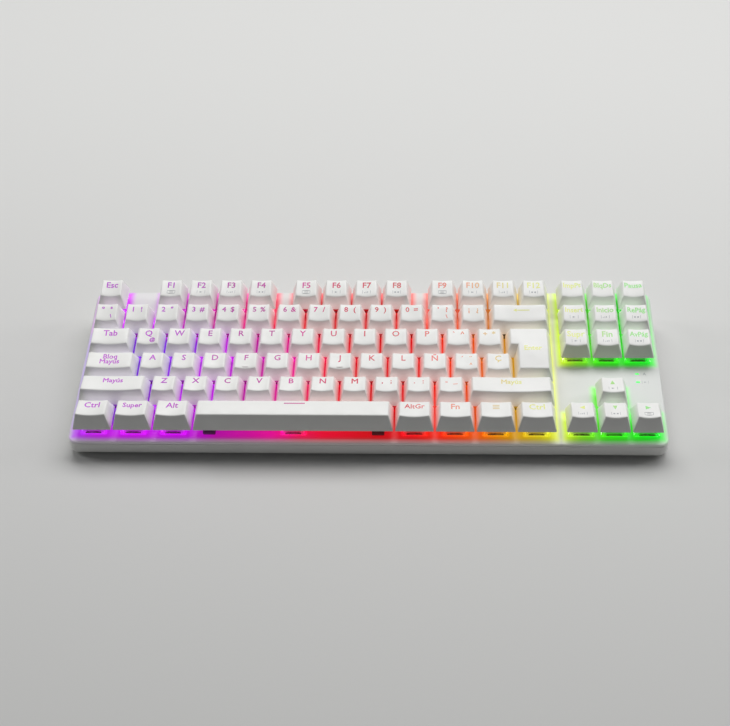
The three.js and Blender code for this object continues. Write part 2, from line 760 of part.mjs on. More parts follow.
// Put the middle of the bounding box at x 0, y 0, with the pads on z 0.
const assembly = new THREE.Group();
assembly.add(base, deck);
assembly.updateMatrixWorld(true);
const bounds = new THREE.Box3().setFromObject(assembly, true);
const middle = bounds.getCenter(new THREE.Vector3());
assembly.position.set(-middle.x, -middle.y, -bounds.min.z);

const keyboard = new THREE.Group();
keyboard.add(assembly);

export default keyboard;
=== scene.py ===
# %% [markdown]
# # A tenkeyless mechanical keyboard
#
# The keyboard is a shallow wedge of a case with a flat, tilted plate for a lid. Switches clip into the
# plate, a tapered cap stands on each switch, and a light under each cap tints the plate from violet to
# green.
#
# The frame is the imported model: bodies that move, and plain solids that ride on them. This script dresses
# it. Each piece is made in millimetres, in the plate's own tilted frame or level with the desk, and put in
# its place once, at the end.

# %% Load the frame
import json
from math import atan2, cos, degrees, pi, radians, sin

import bmesh
import bpy
from mathutils import Matrix, Vector


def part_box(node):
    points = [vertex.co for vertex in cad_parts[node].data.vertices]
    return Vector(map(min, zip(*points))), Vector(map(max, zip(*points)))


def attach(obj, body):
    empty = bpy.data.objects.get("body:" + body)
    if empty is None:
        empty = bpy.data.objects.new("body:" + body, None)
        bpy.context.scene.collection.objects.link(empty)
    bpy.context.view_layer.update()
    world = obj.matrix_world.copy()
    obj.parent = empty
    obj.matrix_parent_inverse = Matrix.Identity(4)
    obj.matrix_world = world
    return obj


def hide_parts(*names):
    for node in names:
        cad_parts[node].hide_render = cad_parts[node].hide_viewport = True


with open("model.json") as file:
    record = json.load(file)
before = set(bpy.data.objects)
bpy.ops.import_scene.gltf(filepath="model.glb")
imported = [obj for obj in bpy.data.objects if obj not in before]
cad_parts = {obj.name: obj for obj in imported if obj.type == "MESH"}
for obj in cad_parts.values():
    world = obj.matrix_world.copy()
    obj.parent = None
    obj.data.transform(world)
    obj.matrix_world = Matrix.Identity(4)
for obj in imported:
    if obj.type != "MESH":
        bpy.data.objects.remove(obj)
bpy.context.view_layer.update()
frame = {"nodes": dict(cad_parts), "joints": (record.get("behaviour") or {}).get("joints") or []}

# %% [markdown]
# ## Two frames
#
# The case stands level on the desk, while the plate, the switches and the keys are tilted a few degrees. It
# would be possible to turn every piece by hand, but it is simpler to work on a level plate and apply one
# matrix. The tilt is read from the way the space bar travels, and the plate's place from its box. In the
# plate's frame x runs from the middle, y from the front edge and z from the top face.

# %% The plate's frame
MM = 0.001
PLATE_THICKNESS = 1.5

travel = next(joint for joint in frame["joints"] if joint["name"] == "space_bar_travel")
TILT = atan2(travel["axis"][1], -travel["axis"][2])
plate_low, plate_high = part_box("switch_plate")
PLATE_WIDTH = (plate_high.x - plate_low.x) / MM
PLATE_DEPTH = ((plate_high.y - plate_low.y) / MM - PLATE_THICKNESS * sin(TILT)) / cos(TILT)
front_height = plate_low.z / MM + PLATE_THICKNESS * cos(TILT)

world_from_desk = Matrix.Translation((0, plate_low.y, 0)) @ Matrix.Scale(MM, 4)
world_from_plate = world_from_desk @ Matrix.Translation((0, 0, front_height)) @ Matrix.Rotation(TILT, 4, "X")
print(f"plate {PLATE_WIDTH:.1f} by {PLATE_DEPTH:.1f} mm, tilted {degrees(TILT):.1f} degrees")

# %% [markdown]
# ## The layout
#
# Keys stand on a 19.05 mm pitch, called one unit. Wide keys are counted in units too, so a table of names
# and widths is the whole layout, and every position follows from it. Each key is (name, units, legend,
# second legend), and a bare number is an empty stretch. Rows run from the back to the front.

# %% The layout's sizes and rows
PITCH = 19.05
KEY_GAP = 0.95
MARGIN_FRONT = 4.2
FUNCTION_ROW_GAP = 1.8
MAIN_UNITS = 15
BLOCK_GAP = 0.25
NAVIGATION_UNITS = 3
LAYOUT_UNITS = MAIN_UNITS + BLOCK_GAP + NAVIGATION_UNITS
ENTER_UPPER, ENTER_LOWER = 1.5, 1.25
BACK_ROW = 5
CAP_LIFT = 6.0


def letters(text):
    """A key of one unit for each letter."""
    return [("key_" + letter, 1, letter.upper(), "") for letter in text]


def numbered(stem, first, seconds, prefix=""):
    """Keys of one unit numbered from first, one for each of the second legends."""
    return [(f"{stem}{i}", 1, f"{prefix}{i}", second) for i, second in enumerate(seconds, first)]


ROWS = [
    ("top", [("esc", 1, "Esc", ""), 1, *numbered("f", 1, ["icon"] * 4, "F"), 0.5,
             *numbered("f", 5, ["icon"] * 4, "F"), 0.5, *numbered("f", 9, ["icon"] * 4, "F"), BLOCK_GAP,
             ("print", 1, "ImpPt", ""), ("scroll", 1, "BlqDs", ""), ("pause", 1, "Pausa", "")]),
    ("top", [("ordinal", 1, "º", "ª"), *numbered("digit", 1, "!\"#$%&/()"), ("digit0", 1, "0", "="),
             ("question", 1, "'", "?"), ("inverted", 1, "¡", "¿"), ("backspace", 2, "arrow", ""), BLOCK_GAP,
             ("insert", 1, "Insert", "icon"), ("home", 1, "Inicio", "icon"),
             ("page_up", 1, "RePág", "icon")]),
    ("upper", [("tab", 1.5, "Tab", ""), *letters("qwertyuiop"), ("grave", 1, "`", "^"), ("plus", 1, "+", "*"),
               1.5 + BLOCK_GAP, ("delete", 1, "Supr", "icon"), ("end", 1, "Fin", "icon"),
               ("page_down", 1, "AvPág", "icon")]),
    ("home", [("caps_lock", 1.75, "Bloq", "Mayús"), *letters("asdfghjkl"), ("enye", 1, "Ñ", ""),
              ("acute", 1, "´", "¨"), ("cedilla", 1, "Ç", "")]),
    ("lower", [("left_shift", 2.25, "Mayús", ""), *letters("zxcvbnm"), ("comma", 1, ",", ";"),
               ("period", 1, ".", ":"), ("hyphen", 1, "-", "_"), ("right_shift", 2.75, "Mayús", ""),
               1 + BLOCK_GAP, ("arrow_up", 1, "up", "icon")]),
    ("lower", [("left_ctrl", 1.25, "Ctrl", ""), ("super", 1.25, "Super", ""), ("left_alt", 1.25, "Alt", ""),
               ("space_bar", 6.25, "bar", ""), ("alt_gr", 1.25, "AltGr", ""), ("fn", 1.25, "Fn", ""),
               ("menu", 1.25, "lines", ""), ("right_ctrl", 1.25, "Ctrl", ""), BLOCK_GAP,
               ("arrow_left", 1, "left", "icon"), ("arrow_down", 1, "down", "icon"),
               ("arrow_right", 1, "right", "icon")]),
]

# A few keys carry a third sign, low on the right.
THIRD_SIGNS = {"ordinal": "\\", "key_q": "@", "question": "\\", "acute": "^"}

# Keys that share one moving body in the frame. Any other key's body has the key's own name.
BANKS = {
    "function_keys": [f"f{i}" for i in range(1, 13)],
    "number_keys_left": ["ordinal"] + [f"digit{i}" for i in range(1, 7)],
    "number_keys_right": ["digit7", "digit8", "digit9", "digit0", "question", "inverted"],
    "navigation_keys": ["print", "scroll", "pause", "insert", "home", "page_up", "delete", "end",
                        "page_down"],
    "accent_keys": ["grave", "plus"],
    "spanish_keys": ["enye", "acute", "cedilla"],
    "punctuation_keys": ["comma", "period", "hyphen"],
    "left_modifier_keys": ["left_ctrl", "super", "left_alt"],
    "right_modifier_keys": ["alt_gr", "fn", "menu", "right_ctrl"],
}
print(len(ROWS), "rows,", len(BANKS), "banks")


# %% Where each key stands
def row_centre(row):
    """How far the middle of a row, counted from the front, stands behind the plate's front edge."""
    return MARGIN_FRONT + (row + 0.5) * PITCH + (FUNCTION_ROW_GAP if row == BACK_ROW else 0)


def units_to_x(units):
    """Where a place so many units from the layout's left end is, from the plate's middle."""
    return (units - LAYOUT_UNITS / 2) * PITCH


body_of_key = {key: bank for bank, members in BANKS.items() for key in members}
keys = []
for row, (sculpt, cells) in zip(range(BACK_ROW, -1, -1), ROWS):
    across = 0
    for cell in cells:
        if isinstance(cell, (int, float)):
            across += cell
            continue
        name, units, legend, second = cell
        keys.append({"name": name, "units": units, "sculpt": sculpt, "legend": legend, "second": second,
                     "x": units_to_x(across + units / 2), "y": row_centre(row),
                     "body": body_of_key.get(name, name)})
        across += units
ENTER = {"x": units_to_x(MAIN_UNITS) - ENTER_LOWER / 2 * PITCH, "y": (row_centre(2) + row_centre(3)) / 2,
         "body": "enter"}

# %% [markdown]
# ## The camera
#
# A long lens far away would flatten the rows, and a short one would stretch them. This one is about 69 mm,
# stands half a metre in front of the plate and 65 cm above it, looks a touch to the left and is rolled a
# little. Its place is given in the plate's frame, where the keys are, and the plate's matrix takes it to
# the desk.

# %% Place the camera
CAMERA_AT = Vector((35.2, -494.8, 651.0))
CAMERA_HEADING, CAMERA_DOWN, CAMERA_ROLL = radians(-3.85), radians(49.38), radians(-2.74)
SENSOR_WIDTH, LENS = 36, 68.75

camera = bpy.data.objects.new("camera", bpy.data.cameras.new("camera"))
camera.data.sensor_width = SENSOR_WIDTH
camera.data.lens = LENS
turn = (Matrix.Rotation(TILT, 4, "X") @ Matrix.Rotation(-CAMERA_HEADING, 4, "Z")
        @ Matrix.Rotation(pi / 2 - CAMERA_DOWN, 4, "X") @ Matrix.Rotation(CAMERA_ROLL, 4, "Z"))
camera.matrix_world = Matrix.Translation(world_from_plate @ CAMERA_AT) @ turn
bpy.context.scene.collection.objects.link(camera)
bpy.context.scene.camera = camera
print("camera at", [round(value, 3) for value in camera.matrix_world.translation])

# %% [markdown]
# ## Tools for making pieces
#
# Most moulded parts are a stack of rounded outlines: a pad, a housing or a case is one outline after
# another, joined by walls. So one function draws a rounded outline and another joins a stack of them into a
# closed mesh. A stack that turns inwards at the top and runs down again makes a hollow part with real
# walls.

# %% Outlines, lofts and finished pieces
SHARP_OVER = radians(35)


def outline(half_x, half_y, radius, z, centre=(0.0, 0.0), steps=4):
    """A rounded rectangle, anticlockwise. z is a height, or a function of (x, y)."""
    points = []
    for corner, (side_x, side_y) in enumerate(((1, 1), (-1, 1), (-1, -1), (1, -1))):
        for i in range(steps + 1):
            angle = (corner + i / steps) * pi / 2
            x = centre[0] + side_x * (half_x - radius) + radius * cos(angle)
            y = centre[1] + side_y * (half_y - radius) + radius * sin(angle)
            points.append(Vector((x, y, z(x, y) if callable(z) else z)))
    return points


def loft(rings):
    """A closed mesh through a stack of outlines with as many points each, the first and the last filled."""
    count = len(rings[0])
    faces = [list(range(count))[::-1]]
    for level in range(len(rings) - 1):
        start = level * count
        for i in range(count):
            j = (i + 1) % count
            faces.append([start + i, start + j, start + count + j, start + count + i])
    faces.append([(len(rings) - 1) * count + i for i in range(count)])
    mesh = bpy.data.meshes.new("loft")
    mesh.from_pydata([point for ring in rings for point in ring], [], faces)
    return mesh


def join_meshes(meshes):
    """One mesh holding several, each with its own material number kept."""
    joined = bmesh.new()
    for mesh in meshes:
        joined.from_mesh(mesh)
    result = bpy.data.meshes.new("joined")
    joined.to_mesh(result)
    joined.free()
    return result


def object_of(mesh, name="work"):
    """A new object in the scene that holds the mesh or curve."""
    obj = bpy.data.objects.new(name, mesh)
    bpy.context.scene.collection.objects.link(obj)
    return obj


def finished_mesh(obj):
    """The object's mesh with its modifiers applied. The object itself is removed."""
    graph = bpy.context.evaluated_depsgraph_get()
    mesh = bpy.data.meshes.new_from_object(obj.evaluated_get(graph), depsgraph=graph)
    bpy.data.objects.remove(obj)
    return mesh


def coated(mesh, *materials):
    """The same mesh, with materials added to it."""
    for material in materials:
        mesh.materials.append(material)
    return mesh


def place(name, mesh, body, stands_for=(), matrix=world_from_plate):
    """Puts a mesh made in millimetres where it belongs and lets it ride on a body."""
    mesh.name = name
    mesh.transform(matrix)
    mesh.shade_smooth()
    mesh.set_sharp_from_angle(angle=SHARP_OVER)
    piece = object_of(mesh, name)
    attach(piece, body)
    if stands_for:
        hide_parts(*stands_for)
    return piece


# %% [markdown]
# ## Tools for materials
#
# A colour is given in sRGB, as on a paint chart, while the shader works in linear light, so one
# function translates. Another adds a node: its settings are the node's properties, and its inputs are
# values or links.


# %% Colour and node helpers
NOISE_SPAN = (0.3, 0.7)  # nearly all of a noise's values lie between these


def linear(code):
    """A linear RGBA colour from an sRGB hex code."""
    channels = [int(code[i:i + 2], 16) / 255 for i in (1, 3, 5)]
    return (*[c / 12.92 if c <= 0.04045 else ((c + 0.055) / 1.055) ** 2.4 for c in channels], 1.0)


def add(tree, kind, inputs=(), **settings):
    """A new node. inputs, by place or by name, are values or sockets to link; settings are its properties."""
    node = tree.nodes.new(kind)
    for name, value in settings.items():
        setattr(node, name, value)
    for key, value in inputs.items() if isinstance(inputs, dict) else enumerate(inputs):
        if isinstance(value, bpy.types.NodeSocket):
            tree.links.new(value, node.inputs[key])
        elif value is not None:
            node.inputs[key].default_value = value
    return node


def new_material(name, **shader):
    """A material with a Principled shader, its tree and the shader node."""
    material = bpy.data.materials.new(name)
    material.use_nodes = True
    tree = material.node_tree
    principled = tree.nodes["Principled BSDF"]
    for key, value in shader.items():
        principled.inputs[key.replace("_", " ")].default_value = value
    return material, tree, principled


def grain(tree, principled, size_mm, height_mm, detail=2.0):
    """A fine surface grain of about size_mm, in Object coordinates, as a bump. Returns the noise's value."""
    spot = add(tree, "ShaderNodeTexCoord").outputs["Object"]
    noise = add(tree, "ShaderNodeTexNoise", {"Vector": spot, "Scale": 1 / (size_mm * MM), "Detail": detail})
    bump = add(tree, "ShaderNodeBump", {"Height": noise.outputs[0], "Strength": 1.0,
                                        "Distance": height_mm * MM})
    tree.links.new(bump.outputs[0], principled.inputs["Normal"])
    return noise.outputs[0]


# %% [markdown]
# ## The colour of the light
#
# The lights run through the rainbow from left to right. Each could be a lamp of its own, but nearly ninety
# small lamps are slow and noisy. Here the surfaces that the light falls on glow instead, as painted lamp
# light: a colour ramp along x gives the hue, and the plate's glow lights the sides of the caps as the real
# lamps do, with more of that light painted on the caps' walls.
#
# The rainbow is a wave that doesn't reach every row at once. At the left end it is behind in the letter
# rows, which are bluer there, and it is ahead in the two back rows. So the lookup along x is shifted by
# row.

# %% The rainbow, as a ramp over the plate's width
SPECTRUM = [(-30, "#8626dc"), (-8, "#9c26dc"), (10, "#c028e0"), (25, "#d01ae8"), (68, "#c80ce0"),
            (86, "#c408b0"), (104, "#d006a4"), (118, "#ea08a0"), (134, "#e81a60"), (148, "#ea0438"),
            (172, "#dc0a1c"), (200, "#e2121c"), (218, "#f03014"), (240, "#e86408"), (258, "#d69a08"),
            (276, "#d0c020"), (287, "#dcea30"), (300, "#84d028"), (314, "#40d818"), (345, "#14dc26")]
RAMP_START, RAMP_END = -60.0, 350.0

# How far the wave is behind or ahead, and the stretches over which that fades in or out, all in
# millimetres.
LETTERS_BEHIND, BACK_ROWS_AHEAD = (20.0, 78.0), 26.0
LETTERS_DEEPER, LETTERS_FRONT, LETTERS_BACK = (0.0, 70.0), (11.0, 15.0), (78.0, 88.0)
LETTERS_LEFT, LETTERS_RIGHT, BACK_ROWS_RIGHT = (66.0, 92.0), (110.0, 170.0), (150.0, 260.0)
PAST_LETTERS_LEFT = 0.2
print(len(SPECTRUM), "colours from left to right")


def plate_point(tree):
    """The plate's own coordinates in millimetres, from its left front corner, as a vector socket."""
    spot = add(tree, "ShaderNodeTexCoord").outputs["Object"]
    level = add(tree, "ShaderNodeVectorRotate", {"Vector": spot, "Center": world_from_plate.translation,
                                                 "Angle": -TILT}, rotation_type="X_AXIS")
    corner = world_from_plate.translation + Vector((units_to_x(0) * MM, 0, 0))
    from_corner = add(tree, "ShaderNodeVectorMath", [level.outputs[0], corner], operation="SUBTRACT")
    in_mm = add(tree, "ShaderNodeVectorMath", {0: from_corner.outputs[0], "Scale": 1 / MM}, operation="SCALE")
    return in_mm.outputs[0]


def wave_shift(tree, x, y):
    """How far to slide the lookup along x, in millimetres, so that the rows differ at the left end."""
    lags = [-lag for lag in LETTERS_BEHIND]
    behind = add(tree, "ShaderNodeMapRange", [y, *LETTERS_DEEPER, *lags]).outputs[0]
    for place_in_plate, stretch, start, end in ((y, LETTERS_FRONT, 0.0, 1.0), (y, LETTERS_BACK, 1.0, 0.0),
                                                (x, LETTERS_LEFT, 1.0, PAST_LETTERS_LEFT),
                                                (x, LETTERS_RIGHT, 1.0, 0.0)):
        share = add(tree, "ShaderNodeMapRange", [place_in_plate, *stretch, start, end]).outputs[0]
        behind = add(tree, "ShaderNodeMath", [behind, share], operation="MULTIPLY").outputs[0]
    back_rows = add(tree, "ShaderNodeMapRange", [y, *LETTERS_BACK, 0.0, BACK_ROWS_AHEAD]).outputs[0]
    back_left = add(tree, "ShaderNodeMapRange", [x, *BACK_ROWS_RIGHT, 1.0, 0.0]).outputs[0]
    ahead = add(tree, "ShaderNodeMath", [back_rows, back_left], operation="MULTIPLY").outputs[0]
    return add(tree, "ShaderNodeMath", [behind, ahead], operation="ADD").outputs[0]


def light_colour(tree, point, shift=wave_shift):
    """The light's colour at a point of plate_point's, as a colour socket."""
    x, y, _ = add(tree, "ShaderNodeSeparateXYZ", [point]).outputs
    along = add(tree, "ShaderNodeMath", [x, shift(tree, x, y)], operation="ADD").outputs[0]
    share = add(tree, "ShaderNodeMapRange", [along, RAMP_START, RAMP_END])
    ramp = add(tree, "ShaderNodeValToRGB", [share.outputs[0]])
    stops = ramp.color_ramp.elements
    while len(stops) < len(SPECTRUM):
        stops.new(0.5)
    for stop, (place_x, code) in zip(stops, SPECTRUM):
        stop.position = (place_x - RAMP_START) / (RAMP_END - RAMP_START)
        stop.color = linear(code)
    return ramp.outputs["Color"]


# %% [markdown]
# The light is bright round the keys and dies away within a few millimetres of them. So the shaders also
# need to know how far a point is from the nearest block of keys: outside a block the distance is positive,
# and inside it negative.

# %% The distance to the nearest block of keys
# Each block is its stretch across, in units, and its rows, counted from the front.
KEY_BLOCKS = [((0, 15), (0, 5)), ((0, 1), (4, 6)), ((2, 6), (4, 6)), ((6.5, 10.5), (4, 6)),
              ((11, 15), (4, 6)), ((15.25, 18.25), (3, 6)), ((15.25, 18.25), (0, 1)),
              ((16.25, 17.25), (0, 2))]
HALF_ANY_HEIGHT = 1000
print(len(KEY_BLOCKS), "blocks of keys")


def block_distance(tree, point, across, rows):
    """How far a point is outside a block of keys, in millimetres. It is negative inside."""
    front = row_centre(rows[0]) - PITCH / 2
    back = row_centre(rows[1] - 1) + PITCH / 2
    centre = ((across[0] + across[1]) / 2 * PITCH, (front + back) / 2, 0)
    half = ((across[1] - across[0]) / 2 * PITCH, (back - front) / 2, HALF_ANY_HEIGHT)
    offset = add(tree, "ShaderNodeVectorMath", [point, centre], operation="SUBTRACT").outputs[0]
    folded = add(tree, "ShaderNodeVectorMath", [offset], operation="ABSOLUTE").outputs[0]
    beyond = add(tree, "ShaderNodeVectorMath", [folded, half], operation="SUBTRACT").outputs[0]
    outside = add(tree, "ShaderNodeVectorMath", [beyond, (0, 0, 0)], operation="MAXIMUM").outputs[0]
    away = add(tree, "ShaderNodeVectorMath", [outside], operation="LENGTH").outputs["Value"]
    parts = add(tree, "ShaderNodeSeparateXYZ", [beyond]).outputs
    deeper = add(tree, "ShaderNodeMath", [parts[0], parts[1]], operation="MAXIMUM").outputs[0]
    depth = add(tree, "ShaderNodeMath", [deeper, 0.0], operation="MINIMUM").outputs[0]
    return add(tree, "ShaderNodeMath", [away, depth], operation="ADD").outputs[0]


def keys_distance(tree, point):
    """How far a point is from the nearest block of keys. It is negative inside one."""
    distances = [block_distance(tree, point, across, rows) for across, rows in KEY_BLOCKS]
    nearest = distances[0]
    for distance in distances[1:]:
        nearest = add(tree, "ShaderNodeMath", [nearest, distance], operation="MINIMUM").outputs[0]
    return nearest


# %% [markdown]
# ## Moulded keycap plastic
#
# The caps are double-shot ABS: a white outer shot and, through it, a clear one that carries the legend. ABS
# is moulded against a spark-eroded tool, which leaves a fine satin grain of about a tenth of a millimetre.
# It gives the tops a broad, soft highlight instead of a mirror. Such a grain is too fine to show from where
# the camera stands, so a slow second noise moves the roughness a little, as handling does, and that shows.

# %% The white shot
HANDLED_PATCH = 9
cap_abs, tree, shader = new_material("white_ABS_satin", Base_Color=linear("#f1f1ee"), IOR=1.53)
grain(tree, shader, size_mm=0.12, height_mm=0.004)
handled = add(tree, "ShaderNodeTexNoise", {"Vector": add(tree, "ShaderNodeTexCoord").outputs["Object"],
                                           "Scale": 1 / (HANDLED_PATCH * MM), "Detail": 3.0})
gloss = add(tree, "ShaderNodeMapRange", [handled.outputs[0], *NOISE_SPAN, 0.38, 0.5])
tree.links.new(gloss.outputs[0], shader.inputs["Roughness"])
shade = add(tree, "ShaderNodeMix", {0: handled.outputs[0], 6: linear("#f6f6f3"), 7: linear("#f0f0ed")},
            data_type="RGBA").outputs[2]
print(cap_abs.name, "has a grain and", HANDLED_PATCH, "mm patches")

# %% [markdown]
# White ABS lets some light into its thin walls, so the walls that stand beside a gap take on the lamp's
# colour, most of all near the skirt. That light is painted on: the walls' colour is mixed towards the
# lamp's and they glow with it. Light also bounces up between the rows, on to the fronts, and is painted
# there as a paler glow. The walls that face out of the block stay white. The back row and both ends are
# more open, so less light is painted on them. The shader tells the walls apart by which way they face, and
# fades the painted light with a few ranges along the plate, in millimetres.

# %% The lamps' light, painted on the caps' walls
PAINTED_LAMP_LIGHT_MIX, PAINTED_LAMP_GLOW = 0.45, 0.16
FRONT_SHARE, FRONT_BOUNCE, FRONT_WHITENESS = 0.25, 0.085, 0.6
FACES_THAT_WAY = (0.5, 0.9)
INSIDE_BLOCK = (-4.0, -8.0)
PAINTED_LIGHT_HEIGHT, PAINTED_LIGHT_AT_TOP = 8, 0.06
RIGHT_BLOCK, LEFT_END, BACK_EDGE = (275.0, 290.0, 1.0, 0.5), (30.0, 100.0, 0.35, 1.0), (93.0, 98.0, 1.0, 0.55)
point = plate_point(tree)
hue = light_colour(tree, point)
facing = add(tree, "ShaderNodeSeparateXYZ", [add(tree, "ShaderNodeNewGeometry").outputs["Normal"]]).outputs
sideways = add(tree, "ShaderNodeMath", [facing[0]], operation="ABSOLUTE").outputs[0]
forward = add(tree, "ShaderNodeMath", [facing[1]], operation="ABSOLUTE").outputs[0]
on_sides = add(tree, "ShaderNodeMapRange", [sideways, *FACES_THAT_WAY, 0.0, 1.0]).outputs[0]
on_fronts = add(tree, "ShaderNodeMapRange", [forward, *FACES_THAT_WAY, 0.0, 1.0]).outputs[0]
inside = add(tree, "ShaderNodeMapRange", [keys_distance(tree, point), *INSIDE_BLOCK, 0.0, 1.0]).outputs[0]
on_inner_fronts = add(tree, "ShaderNodeMath", [on_fronts, inside], operation="MULTIPLY").outputs[0]
across, along, height = add(tree, "ShaderNodeSeparateXYZ", [point]).outputs
painted_light_heights = (CAP_LIFT, CAP_LIFT + PAINTED_LIGHT_HEIGHT)
near_skirt = add(tree, "ShaderNodeMapRange", [height, *painted_light_heights, 1.0, PAINTED_LIGHT_AT_TOP]).outputs[0]
for place_in_plate, fading in ((across, RIGHT_BLOCK), (across, LEFT_END), (along, BACK_EDGE)):
    weaker = add(tree, "ShaderNodeMapRange", [place_in_plate, *fading]).outputs[0]
    near_skirt = add(tree, "ShaderNodeMath", [near_skirt, weaker], operation="MULTIPLY").outputs[0]
reached = add(tree, "ShaderNodeMath", [on_inner_fronts, FRONT_SHARE, on_sides], operation="MULTIPLY_ADD")
painted_lamp_light = add(tree, "ShaderNodeMath", [reached.outputs[0], near_skirt], operation="MULTIPLY").outputs[0]
# The walls' colour mixed towards the lamp's is painted lamp light.
mixed = add(tree, "ShaderNodeMath", [painted_lamp_light, PAINTED_LAMP_LIGHT_MIX], operation="MULTIPLY").outputs[0]
painted_lamp_colour = add(tree, "ShaderNodeMix", {0: mixed, 6: shade, 7: hue}, data_type="RGBA")
tree.links.new(painted_lamp_colour.outputs[2], shader.inputs["Base Color"])
# The walls' glow, and a paler glow on the inner fronts, are painted lamp light and bounce.
bounce = add(tree, "ShaderNodeMath", [on_inner_fronts, FRONT_BOUNCE], operation="MULTIPLY").outputs[0]
seen = add(tree, "ShaderNodeMath", [painted_lamp_light, PAINTED_LAMP_GLOW, bounce], operation="MULTIPLY_ADD").outputs[0]
whiteness = add(tree, "ShaderNodeMath", [on_inner_fronts, FRONT_WHITENESS], operation="MULTIPLY").outputs[0]
through = add(tree, "ShaderNodeMix", {0: whiteness, 6: hue, 7: linear("#f4eef0")}, data_type="RGBA")
tree.links.new(through.outputs[2], shader.inputs["Emission Color"])
tree.links.new(seen, shader.inputs["Emission Strength"])
print(cap_abs.name, "has", len(tree.nodes), "nodes")

# %% [markdown]
# The lamp behind the clear shot lights it, and that light is painted on: it is the shot's colour and a
# faint glow, while the room's light still shows on it. The lamp is well below the legend, so its colour
# isn't quite the plate's, and its lookup is shifted by another rule: ahead at the left end, behind after
# it, ahead again further right, and behind at the right end. Clear plastic is a little milky, so a haze is
# mixed into that painted light. The secondary marks are pad printed in a thin grey ink, which is duller
# than the plastic round it.

# %% The clear shot
LEGEND_GLOW = 0.08
LEFT_SHIFT, RISING_SHIFT = (60.0, 120.0, 12.0, -16.0), (170.0, 262.0, 0.0, 36.0)
FALLING_SHIFT = (262.0, 300.0, 20.0, -14.0)
HAZE_SHARE, HAZE_TO_WARM = 0.3, (170.0, 250.0)


def legend_shift(tree, x, y):
    """How far to slide the lookup along x for a legend, in millimetres. All rows are alike."""
    left, rising, falling = (add(tree, "ShaderNodeMapRange", [x, *stretch]).outputs[0]
                             for stretch in (LEFT_SHIFT, RISING_SHIFT, FALLING_SHIFT))
    both = add(tree, "ShaderNodeMath", [left, rising], operation="ADD").outputs[0]
    return add(tree, "ShaderNodeMath", [both, falling], operation="MINIMUM").outputs[0]


legend_clear, tree, shader = new_material("clear_ABS_legend_lit", Base_Color=linear("#d8d8d8"),
                                          Roughness=0.35, IOR=1.53, Emission_Strength=LEGEND_GLOW)
point = plate_point(tree)
hue = light_colour(tree, point, legend_shift)
across = add(tree, "ShaderNodeSeparateXYZ", [point]).outputs[0]
on_right = add(tree, "ShaderNodeMapRange", [across, *HAZE_TO_WARM]).outputs[0]
haze = add(tree, "ShaderNodeMix", {0: on_right, 6: linear("#6a2458"), 7: linear("#f0ecd8")}, data_type="RGBA")
# The lamp's light, with a haze, painted as the legend's colour and glow.
backlight_and_haze = add(tree, "ShaderNodeMix", {0: HAZE_SHARE, 6: hue, 7: haze.outputs[2]}, data_type="RGBA").outputs[2]
tree.links.new(backlight_and_haze, shader.inputs["Emission Color"])
tree.links.new(backlight_and_haze, shader.inputs["Base Color"])
print(legend_clear.name, "glows at", LEGEND_GLOW)

# %% The printed ink
print_ink, tree, shader = new_material("grey_pad_print_ink", Base_Color=linear("#b4b6b8"), Roughness=0.6)
worn = grain(tree, shader, size_mm=0.2, height_mm=0.003)
ink = add(tree, "ShaderNodeMix", {0: worn, 6: linear("#a9abae"), 7: linear("#c2c4c6")}, data_type="RGBA")
tree.links.new(ink.outputs[2], shader.inputs["Base Color"])
print(print_ink.name, "is ready")

# %% [markdown]
# ## The keycap, by rule
#
# A sculpted cap is a block that draws in towards its top, leans back or forward by row, and is scooped out
# across its width for a fingertip. All of them follow that rule, so Geometry Nodes builds them from one
# tree: a block of grid points is pushed into shape by a few sums. Its open bottom is left out, Bevel rounds
# the edges and Solidify gives the wall, so each cap is a real hollow shell.

# %% The keycap tree
CAP_WALL = 1.3
CAP_EDGE_RADIUS = 0.7
GRID_ACROSS, GRID_ALONG = 9, 5
CAP_INPUTS = ["Width", "Depth", "Front Height", "Back Height", "Side Inset", "Front Inset", "Back Inset",
              "Front Dish", "Back Dish", "Crown"]


